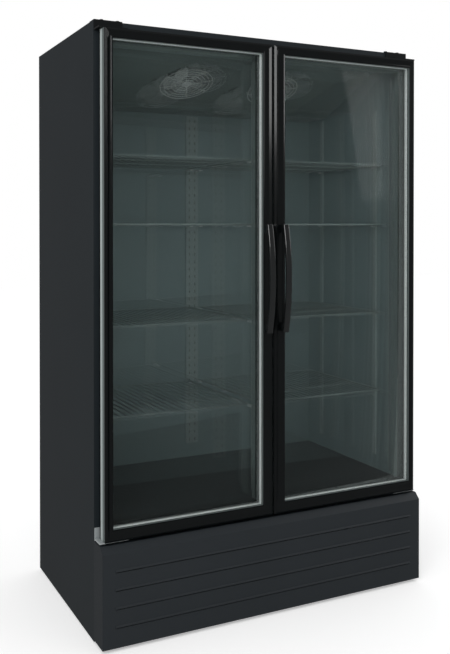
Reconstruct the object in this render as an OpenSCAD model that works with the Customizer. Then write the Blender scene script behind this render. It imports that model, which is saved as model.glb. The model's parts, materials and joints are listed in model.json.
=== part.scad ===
// Two-door glass-front ice merchandiser freezer with a bottom-mounted condensing unit.
// Millimetres. +Z is up, the doors face -Y, and the origin is on the floor under the middle
// of the whole outline.

/* [Cabinet] */
// Width over the side panels
cab_w = 1300; // [1100:5:1500]
// Depth of the cabinet without its doors
cab_d = 700; // [660:5:900]
// Height of the cabinet's top skin above the floor
cab_h = 2080; // [1950:5:2200]
// Height of the lower edge of the shell above the floor
shell_gap = 6; // [4:1:20]
// Thickness of the outer sheet metal
skin_t = 1.5; // [1:0.5:3]
// Thickness of the inner liner sheet
liner_t = 1.5; // [1:0.5:3]
// Thickness of the insulated side walls
wall_t = 50; // [40:1:70]
// Thickness of the insulated ceiling
top_t = 55; // [40:1:80]
// Height of the storage deck above the floor
deck_z = 396; // [380:1:460]
// Height of the machine compartment's ceiling above the floor
compartment_z = 340; // [330:1:345]
// Distance that the rear panels sit inside the side panels
rear_recess = 10; // [8:1:20]

/* [Front frame] */
// Depth of the frame that the door seals meet
frame_d = 20; // [15:1:30]
// Width of each side stile
frame_stile_w = 54; // [50:1:64]
// Height of the header
header_h = 78; // [76:1:95]
// Width of the mullion between the doors
mullion_w = 76; // [74:1:96]
// Height of the sill's upper edge above the deck
sill_lip = 2; // [1:1:6]
// Gap between the seal and the returned edges of the outer skin
seal_land = 3; // [2:1:8]

/* [Doors] */
// Thickness of a door without its seal
door_t = 62; // [52:1:72]
// Height of a door's lower edge above the floor
door_bottom_z = 356; // [356:1:358]
// Distance from the cabinet's top down to a door's upper edge
door_top_drop = 35; // [34:1:45]
// Distance from a side panel in to the door's hinge edge
door_inset = 15; // [8:1:18]
// Gap between the two doors
door_gap = 6; // [4:1:10]
// Width of a door's stile on the hinge side
hinge_stile_w = 27; // [26:1:36]
// Width of a door's stile on the free side
free_stile_w = 42; // [36:1:50]
// Height of a door's top rail
top_rail_h = 34; // [33:1:44]
// Height of a door's bottom rail
bottom_rail_h = 42; // [36:1:50]
// Depth that the glass pack sits inside the stiles and rails
glass_bite = 10; // [8:1:11]
// Thickness of one glass pane
pane_t = 4; // [3:0.5:6]
// Thickness of the spacer between the panes
spacer_t = 16; // [12:1:20]
// Width of the spacer that shows inside the frame
spacer_show = 1; // [0.5:0.5:4]
// Distance from the door's front face to the outer pane
pane_setback = 10; // [6:1:14]
// Gap between a door and the front frame, filled by the seal
seal_t = 14; // [10:1:18]
// Width of the seal
seal_w = 13; // [10:1:14]
// Distance from a door's edge to the seal
seal_inset = 12; // [12:1:13]

/* [Hinges] */
// Distance from a door's hinge edge to the pivot
pivot_inset = 12; // [10:1:12]
// Distance from a door's front face back to the pivot
pivot_setback = 38; // [34:1:42]
// Radius of a hinge pin
pin_r = 5; // [4:0.5:6]
// Length of a hinge pin
pin_len = 20; // [14:1:20]
// Radius of the collar that carries a door on its lower pin
collar_r = 9; // [7:0.5:10]
// Width of a hinge plate
hinge_w = 100; // [80:1:130]
// Thickness of a hinge plate
hinge_t = 5; // [4:0.5:6]
// Thickness of a hinge's upright leg
hinge_leg_t = 3; // [2:0.5:4]
// Height of the bottom hinge's tab above its plate
hinge_tab_h = 34; // [20:1:60]
// Width across the flats of a hinge bolt head
bolt_af = 13; // [10:1:16]
// Height of a hinge bolt head
bolt_head_h = 5; // [4:0.5:7]

/* [Handles] */
// Height of a handle's centre above the floor
handle_z = 1208; // [1000:1:1400]
// Length of a handle
handle_len = 385; // [280:5:480]
// Distance that the middle of a handle stands out from the door
handle_reach = 54; // [44:1:60]
// Distance that the ends of a handle stand out from the door
handle_end_reach = 32; // [26:1:36]
// Length of the post at each end of a handle
handle_post = 30; // [20:1:44]
// Thickness of a handle's bow
handle_t = 13; // [10:1:16]
// Width of a handle
handle_w = 24; // [18:1:30]
// Distance from the door's free edge to the handle's centre line
handle_inset = 30; // [20:1:36]

/* [Front grille] */
// Height of the grille's lower edge above the floor
grille_z0 = 12; // [8:1:44]
// Height of the grille's upper edge above the floor
grille_z1 = 345; // [336:1:346]
// Distance that the grille stands out from the doors
grille_out = 12; // [10:1:40]
// Depth of the slope along the grille's upper front edge
grille_chamfer = 22; // [8:1:28]
// Number of louvres
louvre_count = 4; // [2:1:4]
// Distance between louvres
louvre_pitch = 61; // [48:1:66]
// Height of the lowest louvre above the floor
louvre_z0 = 76; // [60:1:90]
// Height of a louvre's slot
louvre_h = 7; // [5:0.5:10]
// Distance that a louvre's hood stands out
louvre_out = 4; // [2:0.5:6]
// Distance from a louvre's end to the side of the grille
louvre_margin = 45; // [30:1:90]

/* [Shelves] */
// Heights of the shelves above the floor, lowest first
shelf_heights = [735, 1050, 1405, 1645];
// Distance from the cabinet's front plane back to a shelf's front edge
shelf_setback = 70; // [60:1:100]
// Distance from a shelf's rear edge to the back liner
shelf_rear_gap = 35; // [20:1:80]
// Distance from a shelf's outer end to the side liner
shelf_side_gap = 13; // [11:1:20]
// Distance from the middle of the cabinet to a shelf's inner end
shelf_mid_gap = 22; // [16:1:24]
// Thickness of a shelf's edge bars
shelf_bar = 8; // [6:1:10]
// Thickness of a shelf's wires
shelf_wire = 4; // [3:0.5:5]
// Distance between shelf wires
shelf_pitch = 26; // [22:1:40]
// Thickness of the slotted shelf standards
standard_t = 8; // [5:1:9]
// Width of the side standards
standard_w = 18; // [14:1:24]
// Width of the rear middle standard
middle_standard_w = 56; // [34:1:64]
// Distance between the slots in a standard
slot_pitch = 32; // [25:1:50]

/* [Evaporator] */
// Distance from the evaporator cover's end to the side liner
evap_end_gap = 27.5; // [10:0.5:60]
// Distance from the back liner to the cover's front edge
evap_d = 500; // [460:5:540]
// Height of the cover below the ceiling
evap_h = 153; // [140:1:170]
// Depth of the cover's level rear part
evap_flat_d = 172; // [150:1:190]
// Height of the cover's front lip
evap_lip = 15; // [10:1:25]
// Radius of each fan opening in the cover
evap_fan_hole_r = 98; // [80:1:105]
// Distance from the cabinet's middle to each evaporator fan
evap_fan_x = 190; // [140:1:300]
// Place of each fan along the cover's slope, from 0 at the front to 1 at the rear
evap_fan_place = 0.42; // [0.38:0.01:0.56]
// Radius of each evaporator fan
evap_fan_r = 90; // [60:1:92]

/* [Condensing unit] */
// Width of the condenser coil
cond_w = 420; // [360:5:500]
// Height of the condenser coil
cond_h = 230; // [225:1:270]
// Depth of the condenser coil
cond_d = 60; // [40:1:80]
// Sideways position of the condenser's centre
cond_x = -100; // [-130:5:-60]
// Depth of the fan shroud
shroud_d = 70; // [50:1:90]
// Radius of the opening in the fan shroud
shroud_r = 100; // [90:1:105]
// Radius of the condenser fan
cond_fan_r = 92; // [60:1:94]
// Radius of the compressor's shell
comp_r = 82; // [70:1:90]
// Height of the compressor's shell
comp_h = 185; // [160:5:200]
// Position of the compressor from the middle and from the rear panel
comp_pos = [300, 190];

/* [Clearances] */
// Radial running clearance of a pin or shaft
run_gap = 0.05; // [0.02:0.01:0.1]
// Gap between moving bodies that nearly touch
slide_gap = 0.3; // [0.3:0.1:0.6]
// Hairline joint between parts that meet in a frame
joint_gap = 0.2; // [0.1:0.1:0.4]
// Gap between a door's end and its hinge plate
hinge_gap = 2; // [1.5:0.5:3]

/* [Hidden] */
$fn = 64;
eps = 0.01;
half_w = cab_w / 2;
out_reach = max(handle_reach, grille_out + louvre_out);
overall_d = cab_d + seal_t + door_t + out_reach;
back_y = overall_d / 2;
front_y = back_y - cab_d;
door_back_y = front_y - seal_t;
door_front_y = door_back_y - door_t;
rear_y = back_y - rear_recess;
rear_in_y = rear_y - skin_t;
liner_y = rear_y - wall_t;
liner_x = half_w - wall_t;
shell_x = half_w - skin_t;
shell_top = cab_h - skin_t;
ceiling_z = cab_h - top_t;
frame_back_y = front_y + frame_d;
stile_in = half_w - frame_stile_w;
sill_z = deck_z + sill_lip;
header_z = cab_h - header_h;
door_top_z = cab_h - door_top_drop;
pivot_x = half_w - door_inset - pivot_inset;
pivot_y = door_front_y + pivot_setback;
hinge_x0 = half_w - hinge_w - skin_t;
bore_len = pin_len + 2;
low_plate_top = door_bottom_z - hinge_gap;
high_plate_low = door_top_z + hinge_gap;
hinge_leg_h = 54;
hinge_plate_y = pivot_y - 18;
hinge_flange_d = 45;
bolt_x = [33, 90];
grille_y = door_front_y - grille_out;
shelf_y0 = front_y + shelf_setback;
shelf_y1 = liner_y - shelf_rear_gap;
shelf_d = shelf_y1 - shelf_y0;
shelf_x0 = shelf_mid_gap;
shelf_x1 = liner_x - shelf_side_gap;
side_standard_y = [shelf_y0 + 60, shelf_y1 - 80];
standard_z0 = deck_z + 60;
evap_w = 2 * (liner_x - evap_end_gap);
evap_y0 = liner_y - evap_d;
evap_y1 = liner_y - 8;
evap_bottom = ceiling_z - evap_h;
evap_slope_y = evap_y1 - evap_flat_d;
evap_lip_z = ceiling_z - evap_lip;
evap_slope = atan2(evap_lip_z - evap_bottom, evap_slope_y - evap_y0);
evap_fan_y = evap_y0 + evap_fan_place * (evap_slope_y - evap_y0);
evap_fan_z = evap_lip_z - evap_fan_place * (evap_lip_z - evap_bottom);
evap_face_t = skin_t * (sin(evap_slope) + cos(evap_slope));
evap_motor_r = 26;
evap_motor_len = 30;
strap_z = 22;
strap_over = 12;
strap_w = 18;
strap_t = 3;
rail_h = 34;
plate_z = shell_gap + rail_h;
plate_t = 2;
floor_in = plate_z + plate_t;
side_rail_w = 50;
rail_t = 3;
foot_stem_r = 6;
foot_pad_r = 20;
foot_nut_h = 6;
led_w = 12;
front_standard_x = mullion_w / 2 - led_w - joint_gap;
cond_y0 = front_y + 15;
cond_y1 = cond_y0 + cond_d;
shroud_y1 = cond_y1 + shroud_d;
cond_z0 = floor_in;
cond_fan_z = cond_z0 + cond_h / 2;
cond_fan_y = shroud_y1 - 22;
shaft_r = 4;
cond_motor_r = 36;
cond_motor_len = 62;
cond_post_w = 44;
comp_y = rear_y - comp_pos[1];
box_w = 120;
box_d = 90;
box_h = 190;
box_gap = 60;
box_setback = 45;
box_x0 = shell_x - box_gap - box_w;
box_y0 = front_y + box_setback;
knob_x = box_x0 + box_w / 2;
knob_rise = 140;
knob_z = floor_in + knob_rise;
knob_r = 17;
knob_len = 16;
switch_rise = 75;
switch_z = floor_in + switch_rise;
switch_w = 22;
switch_h = 30;
switch_tilt = 7;
switch_proud = 5;
switch_in = 3;
rocker_pin_r = 2;
spindle_r = 3;
inlet_inset = 120;
inlet_x = half_w - inlet_inset;
inlet_z = 80;
inlet_hole_r = 5;
inlet_neck_r = inlet_hole_r + 4;
pipe_r = 4;
comp_lift = 22;
comp_foot_t = 4;
comp_edge = 34;
comp_box_w = 40;
comp_pad_r = 12;
pan_inset = 60;
pan_gap = 40;
pan_clear = 50;
pan_d = 330;
pan_h = 55;
pan_t = 3;
drier_r = 15;
drier_len = 90;
drier_cone = 14;
drier_out = 50;
drier_back = 40;
drier_rise = 190;
drier_x = cond_x + cond_w / 2 + drier_out;
drier_y = shroud_y1 + drier_back;
drier_z = floor_in + drier_rise;
door_x = [door_gap / 2, half_w - door_inset];
door_y = [door_front_y, door_back_y];
door_z = [door_bottom_z, door_top_z];
open_x = [door_x[0] + free_stile_w, door_x[1] - hinge_stile_w];
open_z = [door_z[0] + bottom_rail_h, door_z[1] - top_rail_h];
pack_x = [open_x[0] - glass_bite, open_x[1] + glass_bite];
pack_z = [open_z[0] - glass_bite, open_z[1] + glass_bite];
pane_y = door_front_y + pane_setback;
spacer_y = pane_y + pane_t;
inner_pane_y = spacer_y + spacer_t;
return_x = door_x[1] - seal_inset + seal_land;
return_z = door_z[1] - seal_inset + seal_land;
return_y = front_y + skin_t;

// A box between two limits on each axis
module block(x, y, z) {
    translate([x[0], y[0], z[0]])
        cube([x[1] - x[0], y[1] - y[0], z[1] - z[0]]);
}

// The same shape on both sides of the middle plane
module both_sides() {
    children();
    mirror([1, 0, 0])
        children();
}

// A rectangular ring in the door's plane, in four mitred bars
module mitred_ring(x, y, z, w) {
    difference() {
        block(x, y, z);
        block([x[0] + w, x[1] - w], [y[0] - 1, y[1] + 1], [z[0] + w, z[1] - w]);
        for (i = [0, 1], k = [0, 1])
            translate([x[i], (y[0] + y[1]) / 2, z[k]])
                rotate([0, i == k ? -45 : 45, 0])
                    cube([w * 3, y[1] - y[0] + 1, joint_gap], center = true);
    }
}

// ---- Shell ----

// The left panel, with the edge that returns across the front of the wall
module side_panel() {
    color("#2c3134") {
        block([-half_w, -shell_x], [front_y, back_y], [shell_gap, cab_h]);
        block([-shell_x - eps, -return_x], [front_y, return_y], [compartment_z, shell_top]);
    }
}

module left_side_panel() {
    side_panel();
}

module right_side_panel() {
    mirror([1, 0, 0])
        side_panel();
}

module top_panel() {
    return_end = return_x - joint_gap;
    color("#2c3134") {
        block([-shell_x, shell_x], [front_y, back_y], [shell_top, cab_h]);
        block([-return_end, return_end], [front_y, return_y], [return_z, shell_top + eps]);
    }
}

module back_panel() {
    color("#8f9698")
        block([-shell_x, shell_x], [rear_in_y, rear_y], [compartment_z, shell_top]);
}

module underfloor_panel() {
    color("#9aa0a2")
        block([-shell_x, shell_x], [frame_back_y, rear_in_y], [compartment_z, compartment_z + skin_t]);
}

module insulation() {
    color("#e6d8a8")
        difference() {
            block([-shell_x, shell_x], [frame_back_y, rear_in_y], [compartment_z + skin_t, shell_top]);
            block(
                [-liner_x - liner_t, liner_x + liner_t],
                [frame_back_y - 1, liner_y + liner_t],
                [deck_z - liner_t, ceiling_z + liner_t]
            );
        }
}

module side_liners() {
    color("#8d9899")
        both_sides()
            block(
                [liner_x, liner_x + liner_t],
                [frame_back_y, liner_y],
                [deck_z - liner_t, ceiling_z + liner_t]
            );
}

module ceiling_liner() {
    color("#8d9899")
        block([-liner_x, liner_x], [frame_back_y, liner_y], [ceiling_z, ceiling_z + liner_t]);
}

module back_liner() {
    color("#8d9899")
        block(
            [-liner_x - liner_t, liner_x + liner_t],
            [liner_y, liner_y + liner_t],
            [deck_z - liner_t, ceiling_z + liner_t]
        );
}

// The storage floor and the sill along its front
module deck() {
    sill_end = stile_in - joint_gap;
    color("#3b4446") {
        block([-liner_x, liner_x], [frame_back_y - eps, liner_y], [deck_z - liner_t, deck_z]);
        block([-sill_end, sill_end], [front_y, frame_back_y], [compartment_z, sill_z]);
    }
}

// Two stiles and a header, stepped back behind the returned edges of the skin
module front_frame() {
    header_end = stile_in - joint_gap;
    color("#8d9899")
        difference() {
            union() {
                both_sides()
                    block([stile_in, shell_x], [front_y, frame_back_y], [compartment_z, shell_top]);
                block([-header_end, header_end], [front_y, frame_back_y], [header_z, shell_top]);
            }
            both_sides()
                block(
                    [return_x - joint_gap, half_w],
                    [front_y - 1, return_y],
                    [compartment_z - 1, cab_h]
                );
            block([-half_w, half_w], [front_y - 1, return_y], [return_z - joint_gap, cab_h]);
        }
}

module mullion() {
    color("#8d9899")
        block([-mullion_w / 2, mullion_w / 2], [front_y, frame_back_y], [sill_z, header_z]);
}

// ---- Base ----

module foot_places() {
    for (x = [-1, 1], y = [front_y + side_rail_w / 2, rear_in_y - side_rail_w / 2])
        translate([x * (shell_x - side_rail_w / 2), y, 0])
            children();
}

// A rail of bent sheet, open below
module channel(x, y) {
    difference() {
        block(x, y, [shell_gap, plate_z]);
        block(
            [x[0] + rail_t, x[1] - rail_t],
            [y[0] + rail_t, y[1] - rail_t],
            [shell_gap - 1, plate_z - rail_t]
        );
    }
}

module base_frame() {
    cross_x = shell_x - side_rail_w - joint_gap;
    color("#5d6466")
        difference() {
            union() {
                both_sides()
                    channel([shell_x - side_rail_w, shell_x], [front_y, rear_in_y]);
                channel([-cross_x, cross_x], [front_y, front_y + side_rail_w]);
                channel([-cross_x, cross_x], [rear_in_y - side_rail_w, rear_in_y]);
            }
            foot_places()
                cylinder(r = foot_stem_r + run_gap, h = plate_z + 1);
        }
}

module base_plate() {
    color("#70787a")
        block([-shell_x, shell_x], [front_y, rear_in_y], [plate_z, floor_in]);
}

module leveling_feet() {
    color("#4a4f51")
        foot_places() {
            cylinder(r = foot_pad_r, h = shell_gap);
            cylinder(r = foot_stem_r, h = plate_z - 1);
            translate([0, 0, plate_z - rail_t - joint_gap - foot_nut_h])
                cylinder(r = 2 * foot_stem_r, h = foot_nut_h, $fn = 6);
        }
}

// ---- Lower grilles and inlet ----

// The outline of the grille's box seen from its end, drawn inset by the sheet thickness
module grille_outline(inset) {
    polygon([
        [front_y + (inset > 0 ? 1 : 0), grille_z0 + inset],
        [grille_y + inset, grille_z0 + inset],
        [grille_y + inset, grille_z1 - grille_chamfer - inset * 0.4],
        [grille_y + grille_chamfer + inset * 0.4, grille_z1 - inset],
        [front_y + (inset > 0 ? 1 : 0), grille_z1 - inset]
    ]);
}

module grille_solid(inset) {
    w = half_w - inset;
    translate([-w, 0, 0])
        rotate([90, 0, 90])
            linear_extrude(2 * w)
                grille_outline(inset);
}

// A hood over each slot: a long wedge that sheds what falls on it
module louvre_hood(z) {
    w = half_w - louvre_margin;
    root = 3;
    tip_t = 1.5;
    translate([-w, 0, 0])
        rotate([90, 0, 90])
            linear_extrude(2 * w)
                polygon([
                    [grille_y + skin_t, z + louvre_h + root],
                    [grille_y, z + louvre_h + root],
                    [grille_y - louvre_out, z + louvre_h - root],
                    [grille_y - louvre_out + tip_t, z + louvre_h - root],
                    [grille_y + skin_t, z + louvre_h]
                ]);
}

module front_grille() {
    w = half_w - louvre_margin - 2;
    color("#2c3134") {
        difference() {
            grille_solid(0);
            grille_solid(skin_t);
            for (i = [0:louvre_count - 1])
                block(
                    [-w, w],
                    [grille_y - 1, grille_y + skin_t + 1],
                    [louvre_z0 + i * louvre_pitch, louvre_z0 + i * louvre_pitch + louvre_h]
                );
            // notches that the bottom hinges' legs pass down through
            both_sides()
                block(
                    [hinge_x0 - 2, shell_x + 0.5],
                    [front_y - hinge_leg_t - 1, front_y + 1],
                    [grille_z1 - 10, grille_z1 + 1]
                );
        }
        for (i = [0:louvre_count - 1])
            louvre_hood(louvre_z0 + i * louvre_pitch);
    }
}

module rear_grille() {
    cols = 7;
    rows = 7;
    margin = 80;
    bridge = 50;
    row_pitch = 28;
    vent_h = 8;
    pitch_x = 2 * (shell_x - margin) / cols;
    first_rise = 95;
    first_z = floor_in + first_rise;
    color("#8f9698")
        difference() {
            block([-shell_x, shell_x], [rear_in_y, rear_y], [floor_in, compartment_z]);
            for (i = [0:cols - 1], k = [0:rows - 1])
                translate([
                    -shell_x + margin + (i + 0.5) * pitch_x,
                    rear_y - skin_t / 2,
                    first_z + k * row_pitch
                ])
                    cube([pitch_x - bridge, skin_t + 2, vent_h], center = true);
            translate([inlet_x, rear_in_y - 1, inlet_z])
                rotate([-90, 0, 0])
                    cylinder(r = inlet_neck_r, h = skin_t + 2);
        }
}

module power_inlet() {
    inside = 10;
    outside = 8;
    flange_r = inlet_neck_r + 5;
    flange_t = 4;
    color("#17191a")
        translate([inlet_x, rear_in_y, inlet_z])
            rotate([-90, 0, 0])
                difference() {
                    union() {
                        translate([0, 0, -inside])
                            cylinder(r = inlet_neck_r, h = inside + skin_t + outside);
                        for (z = [-flange_t, skin_t])
                            translate([0, 0, z])
                                cylinder(r = flange_r, h = flange_t);
                    }
                    translate([0, 0, -inside - 1])
                        cylinder(r = inlet_hole_r, h = 2 * (inside + outside));
                }
}

// ---- Shelves ----

module slots(z0, z1) {
    for (z = [z0 + slot_pitch / 2 : slot_pitch : z1 - slot_pitch / 2])
        translate([0, 0, z])
            children();
}

module shelf_standards() {
    slot_h = 14;
    slot_w = 5;
    slot_d = 3;
    z = [standard_z0, evap_bottom - 4];
    color("#a7b1b1") {
        for (y = side_standard_y)
            both_sides()
                difference() {
                    block([liner_x - standard_t, liner_x], [y - standard_w / 2, y + standard_w / 2], z);
                    slots(z[0], z[1])
                        translate([liner_x - standard_t, y, 0])
                            cube([2 * slot_d, slot_w, slot_h], center = true);
                }
        difference() {
            block([-middle_standard_w / 2, middle_standard_w / 2], [liner_y - standard_t, liner_y], z);
            slots(z[0], z[1])
                both_sides()
                    translate([middle_standard_w / 4 - 1, liner_y - standard_t, 0])
                        cube([slot_w, 2 * slot_d, slot_h], center = true);
        }
        block([-front_standard_x, front_standard_x], [frame_back_y, frame_back_y + standard_t], z);
    }
}

// One wire shelf for the right bay, with its top at the height z
module shelf(z) {
    inner_x = [shelf_x0 + shelf_bar, shelf_x1 - shelf_bar];
    n = floor((inner_x[1] - inner_x[0]) / shelf_pitch);
    step = (inner_x[1] - inner_x[0]) / (n + 1);
    color("#c3cccb") {
        difference() {
            block([shelf_x0, shelf_x1], [shelf_y0, shelf_y1], [z - shelf_bar, z]);
            block(
                inner_x,
                [shelf_y0 + shelf_bar, shelf_y1 - shelf_bar],
                [z - shelf_bar - 1, z + 1]
            );
        }
        for (i = [1:n])
            block(
                [inner_x[0] + i * step - shelf_wire / 2, inner_x[0] + i * step + shelf_wire / 2],
                [shelf_y0 + shelf_bar - 1, shelf_y1 - shelf_bar + 1],
                [z - shelf_wire, z]
            );
        for (f = [1 / 3, 2 / 3])
            block(
                [inner_x[0] - 1, inner_x[1] + 1],
                [shelf_y0 + f * shelf_d - shelf_wire / 2, shelf_y0 + f * shelf_d + shelf_wire / 2],
                [z - shelf_bar, z - shelf_wire + eps]
            );
    }
}

module left_shelf(i) {
    mirror([1, 0, 0])
        shelf(shelf_heights[i]);
}

module right_shelf(i) {
    shelf(shelf_heights[i]);
}

module shelf_clips() {
    clip_t = 6;
    under = 8;
    hold = 14;
    rear_x = [shelf_x0 - under, shelf_x0 + shelf_bar];
    front_x = [shelf_x0 - under, front_standard_x];
    color("#b7bfc0")
        for (top = shelf_heights) {
            z = [top - shelf_bar - clip_t, top - shelf_bar];
            both_sides() {
                for (y = side_standard_y)
                    block([shelf_x1 - under, liner_x - standard_t], [y - 4, y + 4], z);
                block(rear_x, [shelf_y1 - hold, liner_y - standard_t], z);
                block(front_x, [frame_back_y + standard_t, shelf_y0 + hold], z);
            }
        }
}

module led_strips() {
    y = [frame_back_y, frame_back_y + led_w];
    z = [deck_z + 20, header_z - 20];
    color("#e9f2f2")
        both_sides() {
            block([liner_x - led_w - 1, liner_x - 1], y, z);
            block([mullion_w / 2 - led_w, mullion_w / 2], y, z);
        }
}

// ---- Evaporator unit under the ceiling ----

module evap_profile(inset) {
    polygon([
        [evap_y0 + inset, ceiling_z + (inset > 0 ? 1 : 0)],
        [evap_y0 + inset, evap_lip_z + inset],
        [evap_slope_y + inset, evap_bottom + inset],
        [evap_y1 - inset, evap_bottom + inset],
        [evap_y1 - inset, ceiling_z + (inset > 0 ? 1 : 0)]
    ]);
}

module evap_solid(inset) {
    w = evap_w / 2 - inset;
    translate([-w, 0, 0])
        rotate([90, 0, 90])
            linear_extrude(2 * w)
                evap_profile(inset);
}

// Places a shape at a fan opening, its +Z pointing into the cover
module at_evap_fan(side) {
    translate([side * evap_fan_x, evap_fan_y, evap_fan_z])
        rotate([-evap_slope, 0, 0])
            children();
}

module evaporator_cover() {
    vents = 12;
    vent_rows = 4;
    margin = 60;
    bridge = 24;
    vent_d = 12;
    row_pitch = 34;
    first_y = evap_slope_y + 30;
    vent_pitch = (evap_w - 2 * margin) / vents;
    color("#aab3b3")
        difference() {
            evap_solid(0);
            evap_solid(skin_t);
            for (side = [-1, 1])
                at_evap_fan(side)
                    cylinder(r = evap_fan_hole_r, h = 40, center = true);
            for (i = [0:vents - 1], k = [0:vent_rows - 1])
                translate([
                    -evap_w / 2 + margin + (i + 0.5) * vent_pitch,
                    first_y + k * row_pitch,
                    evap_bottom
                ])
                    cube([vent_pitch - bridge, vent_d, 8], center = true);
        }
}

module evaporator_coil() {
    w = evap_w / 2 - 60;
    y = [evap_slope_y + 30, evap_y1 - 30];
    plate_out = 4;
    color("#b9c0c2") {
        block([-w, w], y, [evap_bottom + 22, ceiling_z - 16]);
        both_sides()
            block(
                [w, w + 3],
                [y[0] - plate_out, y[1] + plate_out],
                [evap_bottom + skin_t, ceiling_z - 8]
            );
    }
}

module fan_guards() {
    ring_r = evap_fan_hole_r + 6;
    wire = 3;
    drop = 16;
    color("#b4bcbc")
        for (side = [-1, 1])
            at_evap_fan(side) {
                translate([0, 0, -drop]) {
                    for (f = [0.3, 0.5, 0.72, 1])
                        rotate_extrude()
                            translate([ring_r * f - wire, 0])
                                square([wire, wire]);
                    for (a = [0, 45, 90, 135])
                        rotate([0, 0, a])
                            translate([-ring_r + wire / 2, -wire / 2, 0])
                                cube([2 * ring_r - wire, wire, wire]);
                    cylinder(r = 20, h = wire);
                }
                for (a = [22.5:90:360])
                    rotate([0, 0, a])
                        translate([ring_r - 4, -wire, -drop])
                            cube([4, 2 * wire, drop]);
            }
}

module evaporator_motors() {
    strap = [2 * (evap_fan_hole_r + strap_over), strap_w, strap_t];
    post_t = strap_t + 1;
    post_z = evap_face_t + joint_gap / 2;
    color("#3d4446")
        for (side = [-1, 1])
            at_evap_fan(side) {
                translate([0, 0, strap_z + strap[2] - 1])
                    cylinder(r = evap_motor_r, h = evap_motor_len);
                translate([0, 0, -7])
                    cylinder(r = shaft_r, h = strap_z + 10);
                translate([-strap[0] / 2, -strap[1] / 2, strap_z])
                    cube(strap);
                for (k = [-1, 1])
                    translate([k * (strap[0] - post_t) / 2 - post_t / 2, -strap[1] / 2, post_z])
                        cube([post_t, strap[1], strap_z + 1 - post_z]);
            }
}

// A fan with flat pitched blades between a hub and the circle r
module fan(r, hub_r, h, blades) {
    pitch_turn = 24;
    blade_t = 2;
    chord = r * 0.64;
    difference() {
        union() {
            cylinder(r = hub_r, h = h, center = true);
            intersection() {
                cylinder(r = r, h = h, center = true);
                for (i = [0:blades - 1])
                    rotate([0, 0, i * 360 / blades])
                        translate([hub_r - 3, 0, 0])
                            rotate([pitch_turn, 0, 0])
                                translate([0, -chord / 2, -blade_t / 2])
                                    cube([r, chord, blade_t]);
            }
        }
        cylinder(r = shaft_r + run_gap, h = 2 * h, center = true);
    }
}

module left_evaporator_fan() {
    color("#9aa3a4")
        at_evap_fan(-1)
            fan(evap_fan_r, 20, 20, 5);
}

module right_evaporator_fan() {
    color("#9aa3a4")
        at_evap_fan(1)
            fan(evap_fan_r, 20, 20, 5);
}

// ---- Condensing unit ----

module condenser_coil() {
    w = cond_w / 2;
    end_t = 3;
    in = 6;
    color("#23282a") {
        block([cond_x - w, cond_x + w], [cond_y0 + 4, cond_y1], [cond_z0 + in, cond_z0 + cond_h - in]);
        for (s = [-1, 1])
            translate([cond_x + s * w - end_t / 2, cond_y0, cond_z0])
                cube([end_t, cond_d, cond_h]);
    }
}

module condenser_shroud() {
    w = cond_w / 2;
    t = 2;
    color("#2e3335")
        difference() {
            block([cond_x - w, cond_x + w], [cond_y1, shroud_y1], [cond_z0, cond_z0 + cond_h]);
            block(
                [cond_x - w + t, cond_x + w - t],
                [cond_y1 - 1, shroud_y1 - t],
                [cond_z0 + t, cond_z0 + cond_h - t]
            );
            translate([cond_x, shroud_y1, cond_fan_z])
                rotate([90, 0, 0])
                    cylinder(r = shroud_r, h = 20, center = true);
        }
}

module condenser_fan() {
    color("#8c9496")
        translate([cond_x, cond_fan_y, cond_fan_z])
            rotate([-90, 0, 0])
                fan(cond_fan_r, 22, 24, 5);
}

module condenser_motor() {
    motor_y = shroud_y1 + 12;
    post_t = 4;
    post_y = motor_y + cond_motor_len / 3;
    foot_t = 3;
    color("#3a4043") {
        translate([cond_x, motor_y, cond_fan_z])
            rotate([-90, 0, 0])
                cylinder(r = cond_motor_r, h = cond_motor_len);
        translate([cond_x, cond_fan_y - 8, cond_fan_z])
            rotate([-90, 0, 0])
                cylinder(r = shaft_r, h = motor_y - cond_fan_y + 10);
        block(
            [cond_x - cond_post_w / 2, cond_x + cond_post_w / 2],
            [post_y, post_y + post_t],
            [floor_in, cond_fan_z]
        );
        block(
            [cond_x - cond_motor_r, cond_x + cond_motor_r],
            [post_y - cond_post_w / 3, post_y + cond_post_w / 2],
            [floor_in, floor_in + foot_t]
        );
    }
}

module compressor() {
    edge = comp_edge;
    foot = [2 * comp_r + 36, 2 * comp_r - 24];
    box = [comp_box_w, comp_box_w * 1.4, comp_box_w * 1.75];
    color("#121415")
        translate([comp_pos[0], comp_y, floor_in + comp_lift]) {
            rotate_extrude()
                intersection() {
                    square([comp_r + 1, comp_h + 1]);
                    union() {
                        translate([0, edge])
                            square([comp_r, comp_h - 2 * edge]);
                        square([comp_r - edge, comp_h]);
                        for (z = [edge, comp_h - edge])
                            translate([comp_r - edge, z])
                                circle(r = edge);
                    }
                }
            translate([-foot[0] / 2, -foot[1] / 2, -comp_foot_t])
                cube([foot[0], foot[1], comp_foot_t]);
            translate([comp_r - 8, -box[1] / 2, comp_h * 0.35])
                cube(box);
        }
}

module compressor_mount() {
    color("#1d1f20")
        for (x = [-1, 1], y = [-1, 1])
            translate([
                comp_pos[0] + x * (comp_r + 18 - comp_pad_r - 2),
                comp_y + y * (comp_r - 12 - comp_pad_r - 2),
                floor_in
            ])
                cylinder(r = comp_pad_r, h = comp_lift - comp_foot_t);
}

// A straight pipe from a point along one axis, with an elbow fitting at its far end
module pipe(p, turn, len, elbow = true) {
    translate(p)
        rotate(turn) {
            cylinder(r = pipe_r, h = len);
            if (elbow)
                translate([0, 0, len])
                    sphere(r = pipe_r + 1.5);
        }
}

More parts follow.
